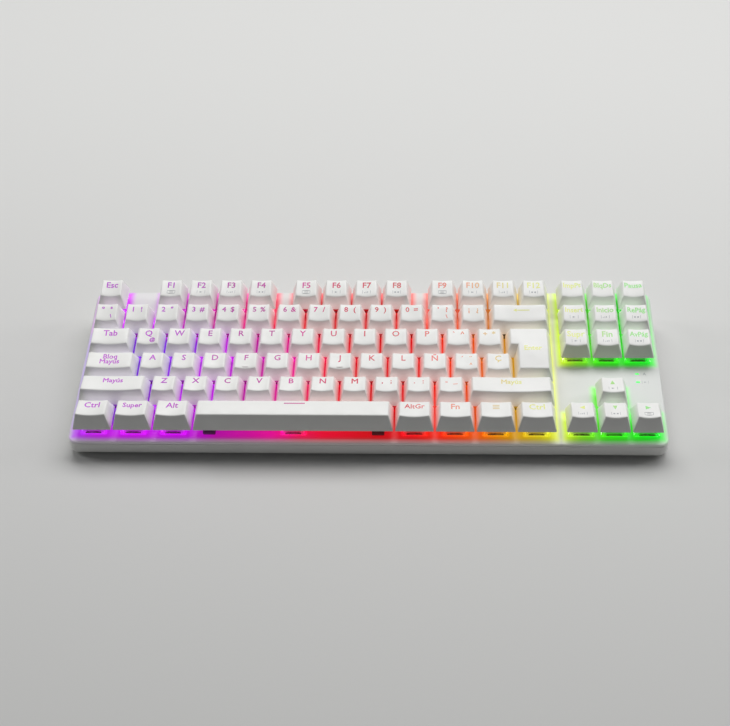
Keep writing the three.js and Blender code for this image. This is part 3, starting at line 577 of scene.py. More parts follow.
def keycap_tree():
    tree = bpy.data.node_groups.new("keycap", "GeometryNodeTree")
    for name in CAP_INPUTS:
        tree.interface.new_socket(name, in_out="INPUT", socket_type="NodeSocketFloat")
    tree.interface.new_socket("Material", in_out="INPUT", socket_type="NodeSocketMaterial")
    tree.interface.new_socket("Geometry", in_out="OUTPUT", socket_type="NodeSocketGeometry")
    given = add(tree, "NodeGroupInput").outputs
    block = add(tree, "GeometryNodeMeshCube", {"Size": (1, 1, 1), "Vertices X": GRID_ACROSS,
                                               "Vertices Y": GRID_ALONG, "Vertices Z": 2})
    facing = add(tree, "ShaderNodeSeparateXYZ", [add(tree, "GeometryNodeInputNormal").outputs[0]])
    down = add(tree, "FunctionNodeCompare", [facing.outputs[2], -0.5], data_type="FLOAT",
               operation="LESS_THAN")
    open_block = add(tree, "GeometryNodeDeleteGeometry", [block.outputs[0], down.outputs[0]], domain="FACE")
    spot = add(tree, "ShaderNodeSeparateXYZ", [add(tree, "GeometryNodeInputPosition").outputs[0]]).outputs
    up = add(tree, "ShaderNodeMath", [spot[2], 0.5], operation="ADD").outputs[0]

    # x: the full width at the skirt, less an inset on both sides at the top
    inset_both = add(tree, "ShaderNodeMath", [given["Side Inset"], 2.0], operation="MULTIPLY").outputs[0]
    lost = add(tree, "ShaderNodeMath", [inset_both, up], operation="MULTIPLY").outputs[0]
    width = add(tree, "ShaderNodeMath", [given["Width"], lost], operation="SUBTRACT").outputs[0]
    x = add(tree, "ShaderNodeMath", [spot[0], width], operation="MULTIPLY").outputs[0]

    # y: between a front and a back wall that lean in by different amounts
    half = add(tree, "ShaderNodeMath", [given["Depth"], 0.5], operation="MULTIPLY").outputs[0]
    minus_half = add(tree, "ShaderNodeMath", [half, -1.0], operation="MULTIPLY").outputs[0]
    front = add(tree, "ShaderNodeMath", [given["Front Inset"], up, minus_half],
                operation="MULTIPLY_ADD").outputs[0]
    back_lost = add(tree, "ShaderNodeMath", [given["Back Inset"], up], operation="MULTIPLY").outputs[0]
    back = add(tree, "ShaderNodeMath", [half, back_lost], operation="SUBTRACT").outputs[0]
    y = add(tree, "ShaderNodeMapRange", [spot[1], -0.5, 0.5, front, back]).outputs[0]

    # z: a top that slopes from front to back, scooped across by the dish and raised along by the crown. A
    # fingertip's scoop runs level while the top leans, so it is deeper at the front.
    slope = add(tree, "ShaderNodeMapRange", [spot[1], -0.5, 0.5, given["Front Height"], given["Back Height"]])
    dish = add(tree, "ShaderNodeMapRange", [spot[1], -0.5, 0.5, given["Front Dish"], given["Back Dish"]])
    heights = slope.outputs[0]
    for along, amount, sign in ((spot[0], dish.outputs[0], -1.0), (spot[1], given["Crown"], 1.0)):
        square = add(tree, "ShaderNodeMath", [along, along], operation="MULTIPLY").outputs[0]
        rise = add(tree, "ShaderNodeMath", [square, -4.0, 1.0], operation="MULTIPLY_ADD").outputs[0]
        signed = add(tree, "ShaderNodeMath", [amount, sign], operation="MULTIPLY").outputs[0]
        heights = add(tree, "ShaderNodeMath", [rise, signed, heights], operation="MULTIPLY_ADD").outputs[0]
    z = add(tree, "ShaderNodeMath", [heights, up], operation="MULTIPLY").outputs[0]

    pushed = add(tree, "ShaderNodeCombineXYZ", [x, y, z]).outputs[0]
    shaped = add(tree, "GeometryNodeSetPosition", {"Geometry": open_block.outputs[0], "Position": pushed})
    real = add(tree, "GeometryNodeRealizeInstances", [shaped.outputs[0]])
    coloured = add(tree, "GeometryNodeSetMaterial", {"Geometry": real.outputs[0],
                                                     "Material": given["Material"]})
    add(tree, "NodeGroupOutput", [coloured.outputs[0]])
    return tree


def set_inputs(modifier, **values):
    """Sets a Geometry Nodes modifier's inputs by their sockets' identifiers."""
    identifiers = {item.name: item.identifier for item in modifier.node_group.interface.items_tree
                   if item.in_out == "INPUT"}
    for name, value in values.items():
        modifier[identifiers[name.replace("_", " ")]] = value


keycap_nodes = keycap_tree()
print(len(keycap_nodes.nodes), "nodes shape every keycap")

# %% [markdown]
# ### Row by row
#
# The rows are sculpted: the back rows are tall and lean forward, the home row is low, and the front rows
# rise again. The heights are of the top's front and back edges over the skirt. The space bar is the
# exception: it has no scoop, and its top is slightly crowned so that a thumb rolls over it.

# %% The sculpted rows and the cap shells
SCULPT = {"top": (8.9, 10.1), "upper": (8.5, 8.8), "home": (8.3, 7.8), "lower": (10.2, 8.3)}
SIDE_INSET, FRONT_INSET, BACK_INSET = 2.75, 3.8, 2.1
FRONT_DISH, BACK_DISH = 1.35, 0.6
SPACE_CROWN = 0.25
CAP_DEPTH = PITCH - KEY_GAP
BEVEL_OVER = radians(40)


def cap_shape(key):
    """The keycap tree's inputs for one key, which also say how high its top is at any point."""
    front_height, back_height = SCULPT[key["sculpt"]]
    space = key["name"] == "space_bar"
    return {"Width": key["units"] * PITCH - KEY_GAP, "Depth": CAP_DEPTH, "Front_Height": front_height,
            "Back_Height": back_height, "Side_Inset": SIDE_INSET, "Front_Inset": FRONT_INSET,
            "Back_Inset": BACK_INSET, "Front_Dish": 0.0 if space else FRONT_DISH,
            "Back_Dish": 0.0 if space else BACK_DISH, "Crown": SPACE_CROWN if space else 0.0}


def top_height(shape, x, y):
    """The height of a cap's top over its skirt at x, y from its middle, as the tree works it out."""
    top_front = -shape["Depth"] / 2 + shape["Front_Inset"]
    top_back = shape["Depth"] / 2 - shape["Back_Inset"]
    along = (y - top_front) / (top_back - top_front)
    across = 2 * x / (shape["Width"] - 2 * shape["Side_Inset"])
    height = shape["Front_Height"] + along * (shape["Back_Height"] - shape["Front_Height"])
    dish = shape["Front_Dish"] + along * (shape["Back_Dish"] - shape["Front_Dish"])
    return height - dish * (1 - across ** 2) + shape["Crown"] * (1 - (2 * along - 1) ** 2)


def rounded_shell(obj):
    """Rounds a cap's edges and gives it a wall, then returns its mesh."""
    bevel = obj.modifiers.new("edges", "BEVEL")
    bevel.width = CAP_EDGE_RADIUS
    bevel.segments = 3
    bevel.limit_method = "ANGLE"
    bevel.angle_limit = BEVEL_OVER
    wall = obj.modifiers.new("wall", "SOLIDIFY")
    wall.thickness = CAP_WALL
    wall.offset = -1
    wall.use_even_offset = True
    return finished_mesh(obj)


def cap_shell(shape):
    """The mesh of a bare cap: the keycap tree, then its edges and its wall."""
    obj = object_of(bpy.data.meshes.new("cap"))
    nodes = obj.modifiers.new("keycap", "NODES")
    nodes.node_group = keycap_nodes
    set_inputs(nodes, Material=cap_abs, **shape)
    mesh = rounded_shell(obj)
    for polygon in mesh.polygons:
        polygon.material_index = 0
    return mesh


shells = {}
for key in keys:
    shells.setdefault((key["units"], key["sculpt"]), cap_shell(cap_shape(key)))
print(len(shells), "cap shapes,", sum(len(mesh.polygons) for mesh in shells.values()), "faces in all")

# %% [markdown]
# ### The two-row Enter key
#
# Enter is a unit and a half wide in one row and a unit and a quarter in the next, so its outline is an L
# with six corners. The rule for rectangles doesn't fit it. Its walls join a large outline at the skirt to a
# small one at the top, and the same Bevel and Solidify finish it.


# %% The Enter cap
def enter_top(y):
    """The height of the Enter cap's top over its skirt, at y from the middle."""
    front = -PITCH + KEY_GAP / 2 + FRONT_INSET
    back = PITCH - KEY_GAP / 2 - BACK_INSET
    low, high = SCULPT["home"][0], SCULPT["upper"][1]
    return low + (high - low) * (y - front) / (back - front)


def enter_corners(side, front, back, step):
    """The L's corners, anticlockwise from the front left, drawn in by these amounts."""
    right = ENTER_LOWER / 2 * PITCH - KEY_GAP / 2 - side
    left = -ENTER_LOWER / 2 * PITCH + KEY_GAP / 2 + side
    far_left = left - (ENTER_UPPER - ENTER_LOWER) * PITCH
    front_y, back_y, step_y = -PITCH + KEY_GAP / 2 + front, PITCH - KEY_GAP / 2 - back, KEY_GAP / 2 + step
    return [(left, front_y), (right, front_y), (right, back_y), (far_left, back_y), (far_left, step_y),
            (left, step_y)]


def enter_shell():
    """The Enter cap's mesh, from an outline at the skirt and one at the top."""
    skirt = enter_corners(0, 0, 0, 0)
    top = enter_corners(SIDE_INSET, FRONT_INSET, BACK_INSET, FRONT_INSET)
    shell = bmesh.new()
    low = [shell.verts.new((x, y, 0)) for x, y in skirt]
    high = [shell.verts.new((x, y, enter_top(y))) for x, y in top]
    for i in range(len(low)):
        j = (i + 1) % len(low)
        shell.faces.new((low[i], low[j], high[j], high[i]))
    shell.faces.new(high)
    mesh = bpy.data.meshes.new("enter")
    shell.to_mesh(mesh)
    shell.free()
    mesh.materials.append(cap_abs)
    return rounded_shell(object_of(mesh))


# %% [markdown]
# ## Legends
#
# A legend is a window of clear plastic level with the top. Painting it would need an image, so it is
# modelled: text is turned into a thin solid, and each of its points is then set on the cap's scooped top, a
# hair proud of it so that it shows. It joins the cap's own mesh under a second material. Symbols are drawn
# the same way from bars and triangles.

# %% Text and symbols as thin solids
LEGEND_SIZE = 5.8
SECOND_SIZE = 4.9
THIRD_SIZE = 3.6
LONG_WORD, LONG_WORD_SIZE = 5, 4.9
LETTER_BOLD = 0.11
LEGEND_PROUD = 0.03
LEGEND_DEPTH = 0.25
text_meshes = {}


def lettering(text, size):
    """A flat solid of the text, centred on the origin, from about z 0 to about z 1."""
    if (text, size) not in text_meshes:
        curve = bpy.data.curves.new("legend", "FONT")
        curve.body = text
        curve.size = size
        curve.align_x = "CENTER"
        curve.align_y = "CENTER"
        curve.extrude = 0.5
        curve.bevel_depth = LETTER_BOLD
        curve.bevel_resolution = 0
        curve.resolution_u = 2
        mesh = finished_mesh(object_of(curve))
        mesh.transform(Matrix.Translation((0, 0, 0.5)))
        text_meshes[text, size] = mesh
    return text_meshes[text, size].copy()


def flat_shape(*polygons):
    """A flat solid of several outlines, its two faces at z 0 and z 1."""
    solids = [loft([[Vector((x, y, z)) for x, y in polygon] for z in (0, 1)]) for polygon in polygons]
    return join_meshes(solids)


def bar(x0, y0, x1, y1):
    """A rectangle's outline, from its lower left corner to its upper right one."""
    return [(x0, y0), (x1, y0), (x1, y1), (x0, y1)]


def turned(polygon, quarter_turns):
    """A polygon turned anticlockwise about the origin."""
    for _ in range(quarter_turns):
        polygon = [(-y, x) for x, y in polygon]
    return polygon


TRIANGLE_RIGHT = [(-1.5, -1.4), (1.6, 0), (-1.5, 1.4)]
SYMBOLS = {
    "bar": [bar(-5.4, -0.35, 7, 0.35)],
    "arrow": [bar(-1.8, -0.3, 6.2, 0.3), [(-1.8, 1.1), (-4.0, 0), (-1.8, -1.1)]],
    "lines": [bar(-2, y - 0.28, 2, y + 0.28) for y in (-1.3, 0, 1.3)],
}
ICON_FRAME = [bar(-2.6, -1.15, -2.35, 1.15), bar(2.35, -1.15, 2.6, 1.15)]
ICON_LIDS = [bar(-2.35, -1.15, 2.35, -0.9), bar(-2.35, 0.9, 2.35, 1.15)]
ICONS = [
    [*ICON_FRAME, bar(-1.5, -0.5, -0.4, 0.5), bar(0.4, -0.5, 1.5, 0.5)],
    [*ICON_FRAME, *ICON_LIDS, bar(-1.2, -0.2, 1.2, 0.2)],
    [*ICON_FRAME, [(-0.9, -0.6), (0.9, 0), (-0.9, 0.6)]],
    [*ICON_FRAME, bar(-1.5, -0.6, -1.0, 0.0), bar(-0.5, -0.6, 0.0, 0.3), bar(0.5, -0.6, 1.0, 0.6)],
]
for number, icon in enumerate(ICONS):
    SYMBOLS[f"icon{number}"] = icon
for quarter_turns, name in enumerate(("right", "up", "left", "down")):
    SYMBOLS[name] = [turned(TRIANGLE_RIGHT, quarter_turns)]
print(len(SYMBOLS), "symbols")


def mark(text, size):
    """A symbol's solid, or else the text's."""
    return flat_shape(*SYMBOLS[text]) if text in SYMBOLS else lettering(text, size)


def legend_on(height_at, text, size, x, y, widest, material_number):
    """A legend centred at x, y on a top of the height height_at(x, y), squeezed to be widest at most."""
    mesh = mark(text, size)
    width = max(v.co.x for v in mesh.vertices) - min(v.co.x for v in mesh.vertices)
    squeeze = min(1.0, widest / width)
    for vertex in mesh.vertices:
        vertex.co.x = x + vertex.co.x * squeeze
        vertex.co.y += y
        level = LEGEND_PROUD if vertex.co.z > 0.5 else LEGEND_PROUD - LEGEND_DEPTH
        vertex.co.z = height_at(vertex.co.x, vertex.co.y) + level
    for polygon in mesh.polygons:
        polygon.material_index = material_number
    return mesh


# %% Finish every cap
LIT, PRINTED = 1, 2
LEGEND_FROM_BACK = 0.32
ICON_FROM_BACK = 0.72
SPACE_MARK_FROM_BACK = 2.4
NUMBER_SPREAD = 2.6
WORD_UP, WORD_DOWN = 0.6, 3.2
LEGEND_MARGIN = 0.8
HOMING_KEYS, HOMING_FROM_FRONT = ("key_f", "key_j"), 1.5


def legends_of(key, shape):
    """Every legend on a key's top, as meshes."""
    top_front = -CAP_DEPTH / 2 + FRONT_INSET
    top_depth = CAP_DEPTH - FRONT_INSET - BACK_INSET
    top_back = top_front + top_depth
    back_line, front_line = top_back - LEGEND_FROM_BACK * top_depth, top_back - ICON_FROM_BACK * top_depth
    widest = shape["Width"] - 2 * SIDE_INSET - 2 * LEGEND_MARGIN
    legend, second = key["legend"], key["second"]
    if second in ("", "icon"):
        size = LONG_WORD_SIZE if len(legend) >= LONG_WORD else LEGEND_SIZE
        marks = [(legend, size, 0, back_line, LIT)]
        marks += [(f"icon{keys.index(key) % len(ICONS)}", 0, 0, front_line, PRINTED)] if second else []
    elif len(second) > 1:
        marks = [(legend, SECOND_SIZE, 0, back_line + WORD_UP, LIT),
                 (second, SECOND_SIZE, 0, back_line - WORD_DOWN, LIT)]
    else:
        marks = [(legend, SECOND_SIZE, -NUMBER_SPREAD, back_line, LIT),
                 (second, SECOND_SIZE, NUMBER_SPREAD, back_line, LIT)]
    if key["name"] == "space_bar":
        marks = [(legend, 0, 0, top_back - SPACE_MARK_FROM_BACK, LIT)]
    if key["name"] in THIRD_SIGNS:
        marks.append((THIRD_SIGNS[key["name"]], THIRD_SIZE, NUMBER_SPREAD, front_line, LIT))

    def height(x, y):
        return top_height(shape, x, y)

    return [legend_on(height, text, size, x, y, widest, number) for text, size, x, y, number in marks]


def homing_bar(shape):
    """The small raised ridge that a fingertip finds at the front of F and J."""
    y = -CAP_DEPTH / 2 + FRONT_INSET + HOMING_FROM_FRONT
    base = top_height(shape, 0, y)
    return loft([outline(1.9, 0.45, 0.4, base - 0.3, (0, y)), outline(1.9, 0.45, 0.4, base + 0.25, (0, y)),
                 outline(1.7, 0.25, 0.2, base + 0.4, (0, y))])


ENTER_LEGEND_AT, ENTER_WIDEST = (-0.3, 1.0), 12
faces = 0
for key in keys:
    shape = cap_shape(key)
    parts = [shells[key["units"], key["sculpt"]], *legends_of(key, shape)]
    if key["name"] in HOMING_KEYS:
        parts.append(homing_bar(shape))
    cap = coated(join_meshes(parts), cap_abs, legend_clear, print_ink)
    cap.transform(Matrix.Translation((key["x"], key["y"], CAP_LIFT)))
    place("cap_" + key["name"], cap, key["body"], [key["body"]])
    faces += len(cap.polygons)

enter_legend = legend_on(lambda x, y: enter_top(y), "Enter", SECOND_SIZE, *ENTER_LEGEND_AT, ENTER_WIDEST, LIT)
enter_cap = coated(join_meshes([enter_shell(), enter_legend]), cap_abs, legend_clear)
enter_cap.transform(Matrix.Translation((ENTER["x"], ENTER["y"], CAP_LIFT)))
place("cap_enter", enter_cap, "enter", ["enter"])
print(len(keys) + 1, "caps,", faces, "faces")

# %% [markdown]
# ## Scattering what repeats
#
# Eighty-seven switches are the same piece eighty-seven times. Copies could be made in a loop, but
# instancing is what Geometry Nodes is for: a cloud of points says where, and one tree puts the piece on
# each point. The tree ends in Realize Instances, so that what comes out is an ordinary mesh.


# %% The scatter tree
def scatter_tree():
    tree = bpy.data.node_groups.new("scatter", "GeometryNodeTree")
    tree.interface.new_socket("Geometry", in_out="INPUT", socket_type="NodeSocketGeometry")
    tree.interface.new_socket("Piece", in_out="INPUT", socket_type="NodeSocketObject")
    tree.interface.new_socket("Size", in_out="INPUT", socket_type="NodeSocketFloat")
    tree.interface.new_socket("Material", in_out="INPUT", socket_type="NodeSocketMaterial")
    tree.interface.new_socket("Geometry", in_out="OUTPUT", socket_type="NodeSocketGeometry")
    given = add(tree, "NodeGroupInput").outputs
    piece = add(tree, "GeometryNodeObjectInfo", {"Object": given["Piece"]})
    spots = add(tree, "GeometryNodeMeshToPoints", {"Mesh": given["Geometry"]})
    copies = add(tree, "GeometryNodeInstanceOnPoints", {"Points": spots.outputs[0], "Scale": given["Size"],
                                                        "Instance": piece.outputs["Geometry"]})
    real = add(tree, "GeometryNodeRealizeInstances", [copies.outputs[0]])
    coloured = add(tree, "GeometryNodeSetMaterial", {"Geometry": real.outputs[0],
                                                     "Material": given["Material"]})
    add(tree, "NodeGroupOutput", [coloured.outputs[0]])
    return tree


scatter_nodes = scatter_tree()
print(len(scatter_nodes.nodes), "nodes scatter a piece")


def scattered(piece_mesh, spots, material, size=1.0):
    """A mesh with a copy of piece_mesh at each of the spots."""
    cloud = bpy.data.meshes.new("spots")
    cloud.from_pydata(spots, [], [])
    piece = object_of(piece_mesh)
    obj = object_of(cloud)
    nodes = obj.modifiers.new("scatter", "NODES")
    nodes.node_group = scatter_nodes
    set_inputs(nodes, Piece=piece, Size=size, Material=material)
    mesh = finished_mesh(obj)
    bpy.data.objects.remove(piece)
    return mesh


switch_spots = [(key["x"], key["y"], 0) for key in [*keys, ENTER]]

# %% [markdown]
# ## Switch housings
#
# A switch housing is a clear polycarbonate box that snaps into the plate and rests on a thin flange. It is
# clear so that the lamp's light gets out. The stack of outlines goes up the outside, over the rim and down
# the inside, which gives real walls and a well for the slider. Clear plastic bends light (IOR 1.58) and is
# polished, but moulding marks scatter a little, so it isn't perfectly smooth.

# %% Clear housings with their wells
HOLE_HALF = 6.7
FLANGE_HALF = 7.8
SWITCH_TOP = 6.6
FLANGE_PAINTED_HIGHLIGHT, BODY_GLOW = 0.5, 0.28

clear_pc, tree, shader = new_material("clear_polycarbonate", Base_Color=linear("#a9abb0"), Roughness=0.12,
                                      IOR=1.58, Transmission_Weight=0.9)
grain(tree, shader, size_mm=0.5, height_mm=0.01)
# The housings glow in the lamps' colour, which is painted lamp light; the brighter glow on the flange is a
# painted highlight line.
point = plate_point(tree)
tree.links.new(light_colour(tree, point), shader.inputs["Emission Color"])
height = add(tree, "ShaderNodeSeparateXYZ", [point]).outputs[2]
housing_painted_glow = add(tree, "ShaderNodeMapRange", [height, 0.9, 1.5, FLANGE_PAINTED_HIGHLIGHT, BODY_GLOW],
                  interpolation_type="SMOOTHSTEP")
tree.links.new(housing_painted_glow.outputs[0], shader.inputs["Emission Strength"])

housing = loft([
    outline(HOLE_HALF, HOLE_HALF, 0.6, -4.9), outline(HOLE_HALF, HOLE_HALF, 0.6, 0.1),
    outline(FLANGE_HALF, FLANGE_HALF, 0.9, 0.1), outline(FLANGE_HALF, FLANGE_HALF, 0.9, 0.9),
    outline(7.1, 7.1, 0.9, 1.1), outline(6.8, 6.7, 0.9, 2.8),
    outline(5.4, 4.9, 1.2, 6.2), outline(5.1, 4.6, 1.2, SWITCH_TOP),
    outline(3.9, 3.1, 0.5, SWITCH_TOP), outline(3.9, 3.1, 0.5, 5.7), outline(4.6, 4.2, 0.8, 5.7),
    outline(6.2, 6.2, 0.8, 0.9), outline(5.8, 5.8, 0.5, -4.1)])
place("switch_housings", scattered(housing, switch_spots, clear_pc), "base",
      ["switch_housings"])
print(len(switch_spots), "housings")

# %% [markdown]
# The two halves of a housing snap together, with a latch across the front and the back, low down. The
# latch is polycarbonate too. Its dark smoky colour is painted shade, standing in for the shade low in each
# housing, and its uneven streaks of glow are painted sparkles of the lamp's light. It is a small wedge,
# scattered with the rest.

# %% The latches
LATCH_Y, LATCH_TOP_SHARE = 7.25, 0.99
PAINTED_SPARKLE = (0.4, 0.62, 0.02, 0.3)
# The latch's dark colour is painted shade, and its streaked glow is painted sparkle of the lamp's light.
shade_dark_pc, tree, shader = new_material("shade_dark_polycarbonate", Base_Color=linear("#4c1512"), Roughness=0.3,
                                      IOR=1.58)
tree.links.new(light_colour(tree, plate_point(tree)), shader.inputs["Emission Color"])
grain_and_sparkle = grain(tree, shader, size_mm=1.2, height_mm=0.03)
painted_sparkle = add(tree, "ShaderNodeMapRange", [grain_and_sparkle, *PAINTED_SPARKLE])
tree.links.new(painted_sparkle.outputs[0], shader.inputs["Emission Strength"])
latch = join_meshes([loft([outline(4.8, 0.35, 0.3, 0.95, (0, y)), outline(4.5, 0.3, 0.25, 1.5, (0, y)),
                           outline(2.8, 0.25, 0.2, 1.9, (0, y * LATCH_TOP_SHARE))])
                     for y in (-LATCH_Y, LATCH_Y)])
place("housing_latches", scattered(latch, switch_spots, shade_dark_pc), "base")
print(2 * len(switch_spots), "latches")

# %% [markdown]
# ## Sliders
#
# The slider is what the cap sits on: a dark red block with a cross on top, which gives the switch its name.
# It is a separate moulding in POM, a slippery, slightly waxy plastic, and it moves with its key. So each
# moving body gets one mesh with its own sliders.

# %% Dark red sliders on every moving body
slider_pom, tree, shader = new_material("dark_red_POM", Roughness=0.35, IOR=1.48, Subsurface_Weight=0.08)
fleck = grain(tree, shader, size_mm=0.4, height_mm=0.006)
tone = add(tree, "ShaderNodeMix", {0: fleck, 6: linear("#4c0e0c"), 7: linear("#741a15")}, data_type="RGBA")
tree.links.new(tone.outputs[2], shader.inputs["Base Color"])

SKIRT_AT = (0, -0.8)
slider = join_meshes([
    loft([outline(4.5, 4.7, 0.5, 0.1, SKIRT_AT), outline(4.6, 4.8, 0.5, 0.4, SKIRT_AT),
          outline(4.6, 4.8, 0.5, 1.8, SKIRT_AT), outline(4.4, 4.0, 0.5, 3.4), outline(3.3, 2.5, 0.4, 3.7),
          outline(3.3, 2.5, 0.4, 6.9), outline(3.0, 2.2, 0.4, 7.2)]),
    loft([outline(2.0, 0.6, 0.15, 7.0), outline(2.0, 0.6, 0.15, 10.2)]),
    loft([outline(0.6, 2.0, 0.15, 7.1), outline(0.6, 2.0, 0.15, 10.1)])])
bodies = {}
for key in [*keys, ENTER]:
    bodies.setdefault(key["body"], []).append((key["x"], key["y"], 0))
for body, spots in bodies.items():
    place("sliders_" + body, scattered(slider.copy(), spots, slider_pom), body)
print(len(bodies), "slider pieces")

# %% [markdown]
# ## Lamps
#
# Each switch has a small square lamp on the board behind its slider, seen through the clear housing as a
# bright dot. It is a low clear dome, here a rounded block that gives light in the colour of its place.

# %% The lamps
LAMP_STRENGTH = 2.0
LAMP_BEHIND = 4.6
lamp_lens, tree, shader = new_material("lit_lamp_lens", Base_Color=linear("#ffffff"), Roughness=0.3,
                                       Emission_Strength=LAMP_STRENGTH)
tree.links.new(light_colour(tree, plate_point(tree)), shader.inputs["Emission Color"])
lamp = loft([outline(1.7, 0.8, 0.3, 1.2, steps=2), outline(1.7, 0.8, 0.3, 2.0, steps=2),
             outline(1.3, 0.5, 0.3, 2.4, steps=2)])
lamp_spots = [(x, y + LAMP_BEHIND, 0) for x, y, _ in switch_spots]
place("lamps", scattered(lamp, lamp_spots, lamp_lens), "base")
print(len(lamp_spots), "lamps")

# %% [markdown]
# ## Stabilisers
#
# A long key would tilt when it is pressed at one end, so a wire under it ties both ends together. The wire
# is held by two housings of dark nylon in the plate. The housings repeat, so they are scattered; the wire
# follows a path, so a tree fillets the path's corners and sweeps a circle along it, as a bending machine
# would.

# %% Stabiliser housings
# The nylon glows faintly in the lamps' colour, which is painted lamp light.
NYLON_PAINTED_GLOW = 0.03
nylon, tree, shader = new_material("dark_grey_nylon", Base_Color=linear("#565458"), Roughness=0.5, IOR=1.53,
                                   Emission_Strength=NYLON_PAINTED_GLOW)
grain(tree, shader, size_mm=0.3, height_mm=0.01)
tree.links.new(light_colour(tree, plate_point(tree)), shader.inputs["Emission Color"])

# How far each stabiliser stands from the middle of its key, to either side.
STABILISED = {"space_bar": 50.0, "left_shift": 11.9, "right_shift": 11.9, "backspace": 11.9}
guide = loft([outline(3.5, 5.6, 0.5, -4.9, (0, 0.9)), outline(3.5, 5.6, 0.5, 0.1, (0, 0.9)),
              outline(3.7, 7.1, 0.7, 0.1, (0, -0.5)), outline(3.7, 7.1, 0.7, 1.6, (0, -0.5)),
              outline(3.4, 6.2, 0.6, 2.2, (0, 0)), outline(3.4, 5.9, 0.6, 4.3, (0, 0.6)),
              outline(3.1, 5.6, 0.5, 4.6, (0, 0.6)), outline(2.3, 4.9, 0.4, 4.6, (0, 0.6)),
              outline(2.3, 4.9, 0.4, -4.2, (0, 0.6))])
key_named = {key["name"]: key for key in keys}
guide_spots = [(key_named[name]["x"] + side * spread, key_named[name]["y"], 0)
               for name, spread in STABILISED.items() for side in (-1, 1)]
place("stabiliser_housings", scattered(guide, guide_spots, nylon), "base")
print(len(guide_spots), "stabiliser housings")


# %% The space bar's wire
def wire_tree():
    """A tree that rounds a path's corners and makes it a solid rod."""
    tree = bpy.data.node_groups.new("bent_wire", "GeometryNodeTree")
    tree.interface.new_socket("Geometry", in_out="INPUT", socket_type="NodeSocketGeometry")
    tree.interface.new_socket("Bend Radius", in_out="INPUT", socket_type="NodeSocketFloat")
    tree.interface.new_socket("Wire Radius", in_out="INPUT", socket_type="NodeSocketFloat")
    tree.interface.new_socket("Material", in_out="INPUT", socket_type="NodeSocketMaterial")
    tree.interface.new_socket("Geometry", in_out="OUTPUT", socket_type="NodeSocketGeometry")
    given = add(tree, "NodeGroupInput").outputs
    path = add(tree, "GeometryNodeMeshToCurve", [given["Geometry"]])
    bent = add(tree, "GeometryNodeFilletCurve", {"Curve": path.outputs[0], "Radius": given["Bend Radius"],
                                                 "Limit Radius": True, "Count": 6}, mode="POLY")
    section = add(tree, "GeometryNodeCurvePrimitiveCircle", {"Resolution": 12,
                                                             "Radius": given["Wire Radius"]})
    rod = add(tree, "GeometryNodeCurveToMesh", {"Curve": bent.outputs[0], "Profile Curve": section.outputs[0],
                                                "Fill Caps": True})
    real = add(tree, "GeometryNodeRealizeInstances", [rod.outputs[0]])
    coloured = add(tree, "GeometryNodeSetMaterial", {"Geometry": real.outputs[0],
                                                     "Material": given["Material"]})
    add(tree, "NodeGroupOutput", [coloured.outputs[0]])
    return tree


spring_steel, tree, shader = new_material("nickel_plated_spring_steel", Base_Color=linear("#b9b6b0"),
                                          Metallic=1.0, Roughness=0.28)
DRAWING_MARK = 0.6
drawn = add(tree, "ShaderNodeTexNoise", {"Vector": add(tree, "ShaderNodeTexCoord").outputs["Object"],
                                         "Scale": 1 / (DRAWING_MARK * MM), "Detail": 4.0})
polish = add(tree, "ShaderNodeMapRange", [drawn.outputs[0], *NOISE_SPAN, 0.2, 0.4])
tree.links.new(polish.outputs[0], shader.inputs["Roughness"])

space = key_named["space_bar"]
PIVOT_Y, PIVOT_Z, HOOK_Y, HOOK_Z = 8.8, 1.0, 1.3, 3.0
ARM_X, HOOK_END_X = 52.5, 48.5
BEND_RADIUS, WIRE_RADIUS = 1.4, 0.8
half_path = [(HOOK_END_X, HOOK_Y, HOOK_Z), (ARM_X, HOOK_Y, HOOK_Z), (ARM_X, PIVOT_Y, PIVOT_Z)]
path_points = half_path + [(-x, y, z) for x, y, z in half_path[::-1]]
wire_path = bpy.data.meshes.new("wire_path")
wire_path.from_pydata([(space["x"] + x, space["y"] + y, z) for x, y, z in path_points],
                      [(i, i + 1) for i in range(len(path_points) - 1)], [])
wire = object_of(wire_path)
wire_nodes = wire.modifiers.new("wire", "NODES")
wire_nodes.node_group = wire_tree()
set_inputs(wire_nodes, Bend_Radius=BEND_RADIUS, Wire_Radius=WIRE_RADIUS, Material=spring_steel)
place("space_bar_wire", finished_mesh(wire), "space_bar_stabiliser_wire",
      ["space_bar_stabiliser_wire"])
print("the wire is", 2 * WIRE_RADIUS, "mm thick and", 2 * ARM_X, "mm long")

# %% The stabilisers' own sliders
blade = loft([outline(1.3, 2.8, 0.3, 1.3, (0, 0.5)), outline(1.3, 2.8, 0.3, 10.0, (0, 0.5))])
for name, spread in STABILISED.items():
    key = key_named[name]
    spots = [(key["x"] + side * spread, key["y"], 0) for side in (-1, 1)]
    place("stabiliser_stems_" + name, scattered(blade.copy(), spots, nylon), key["body"])
print(len(STABILISED), "pairs of stems")
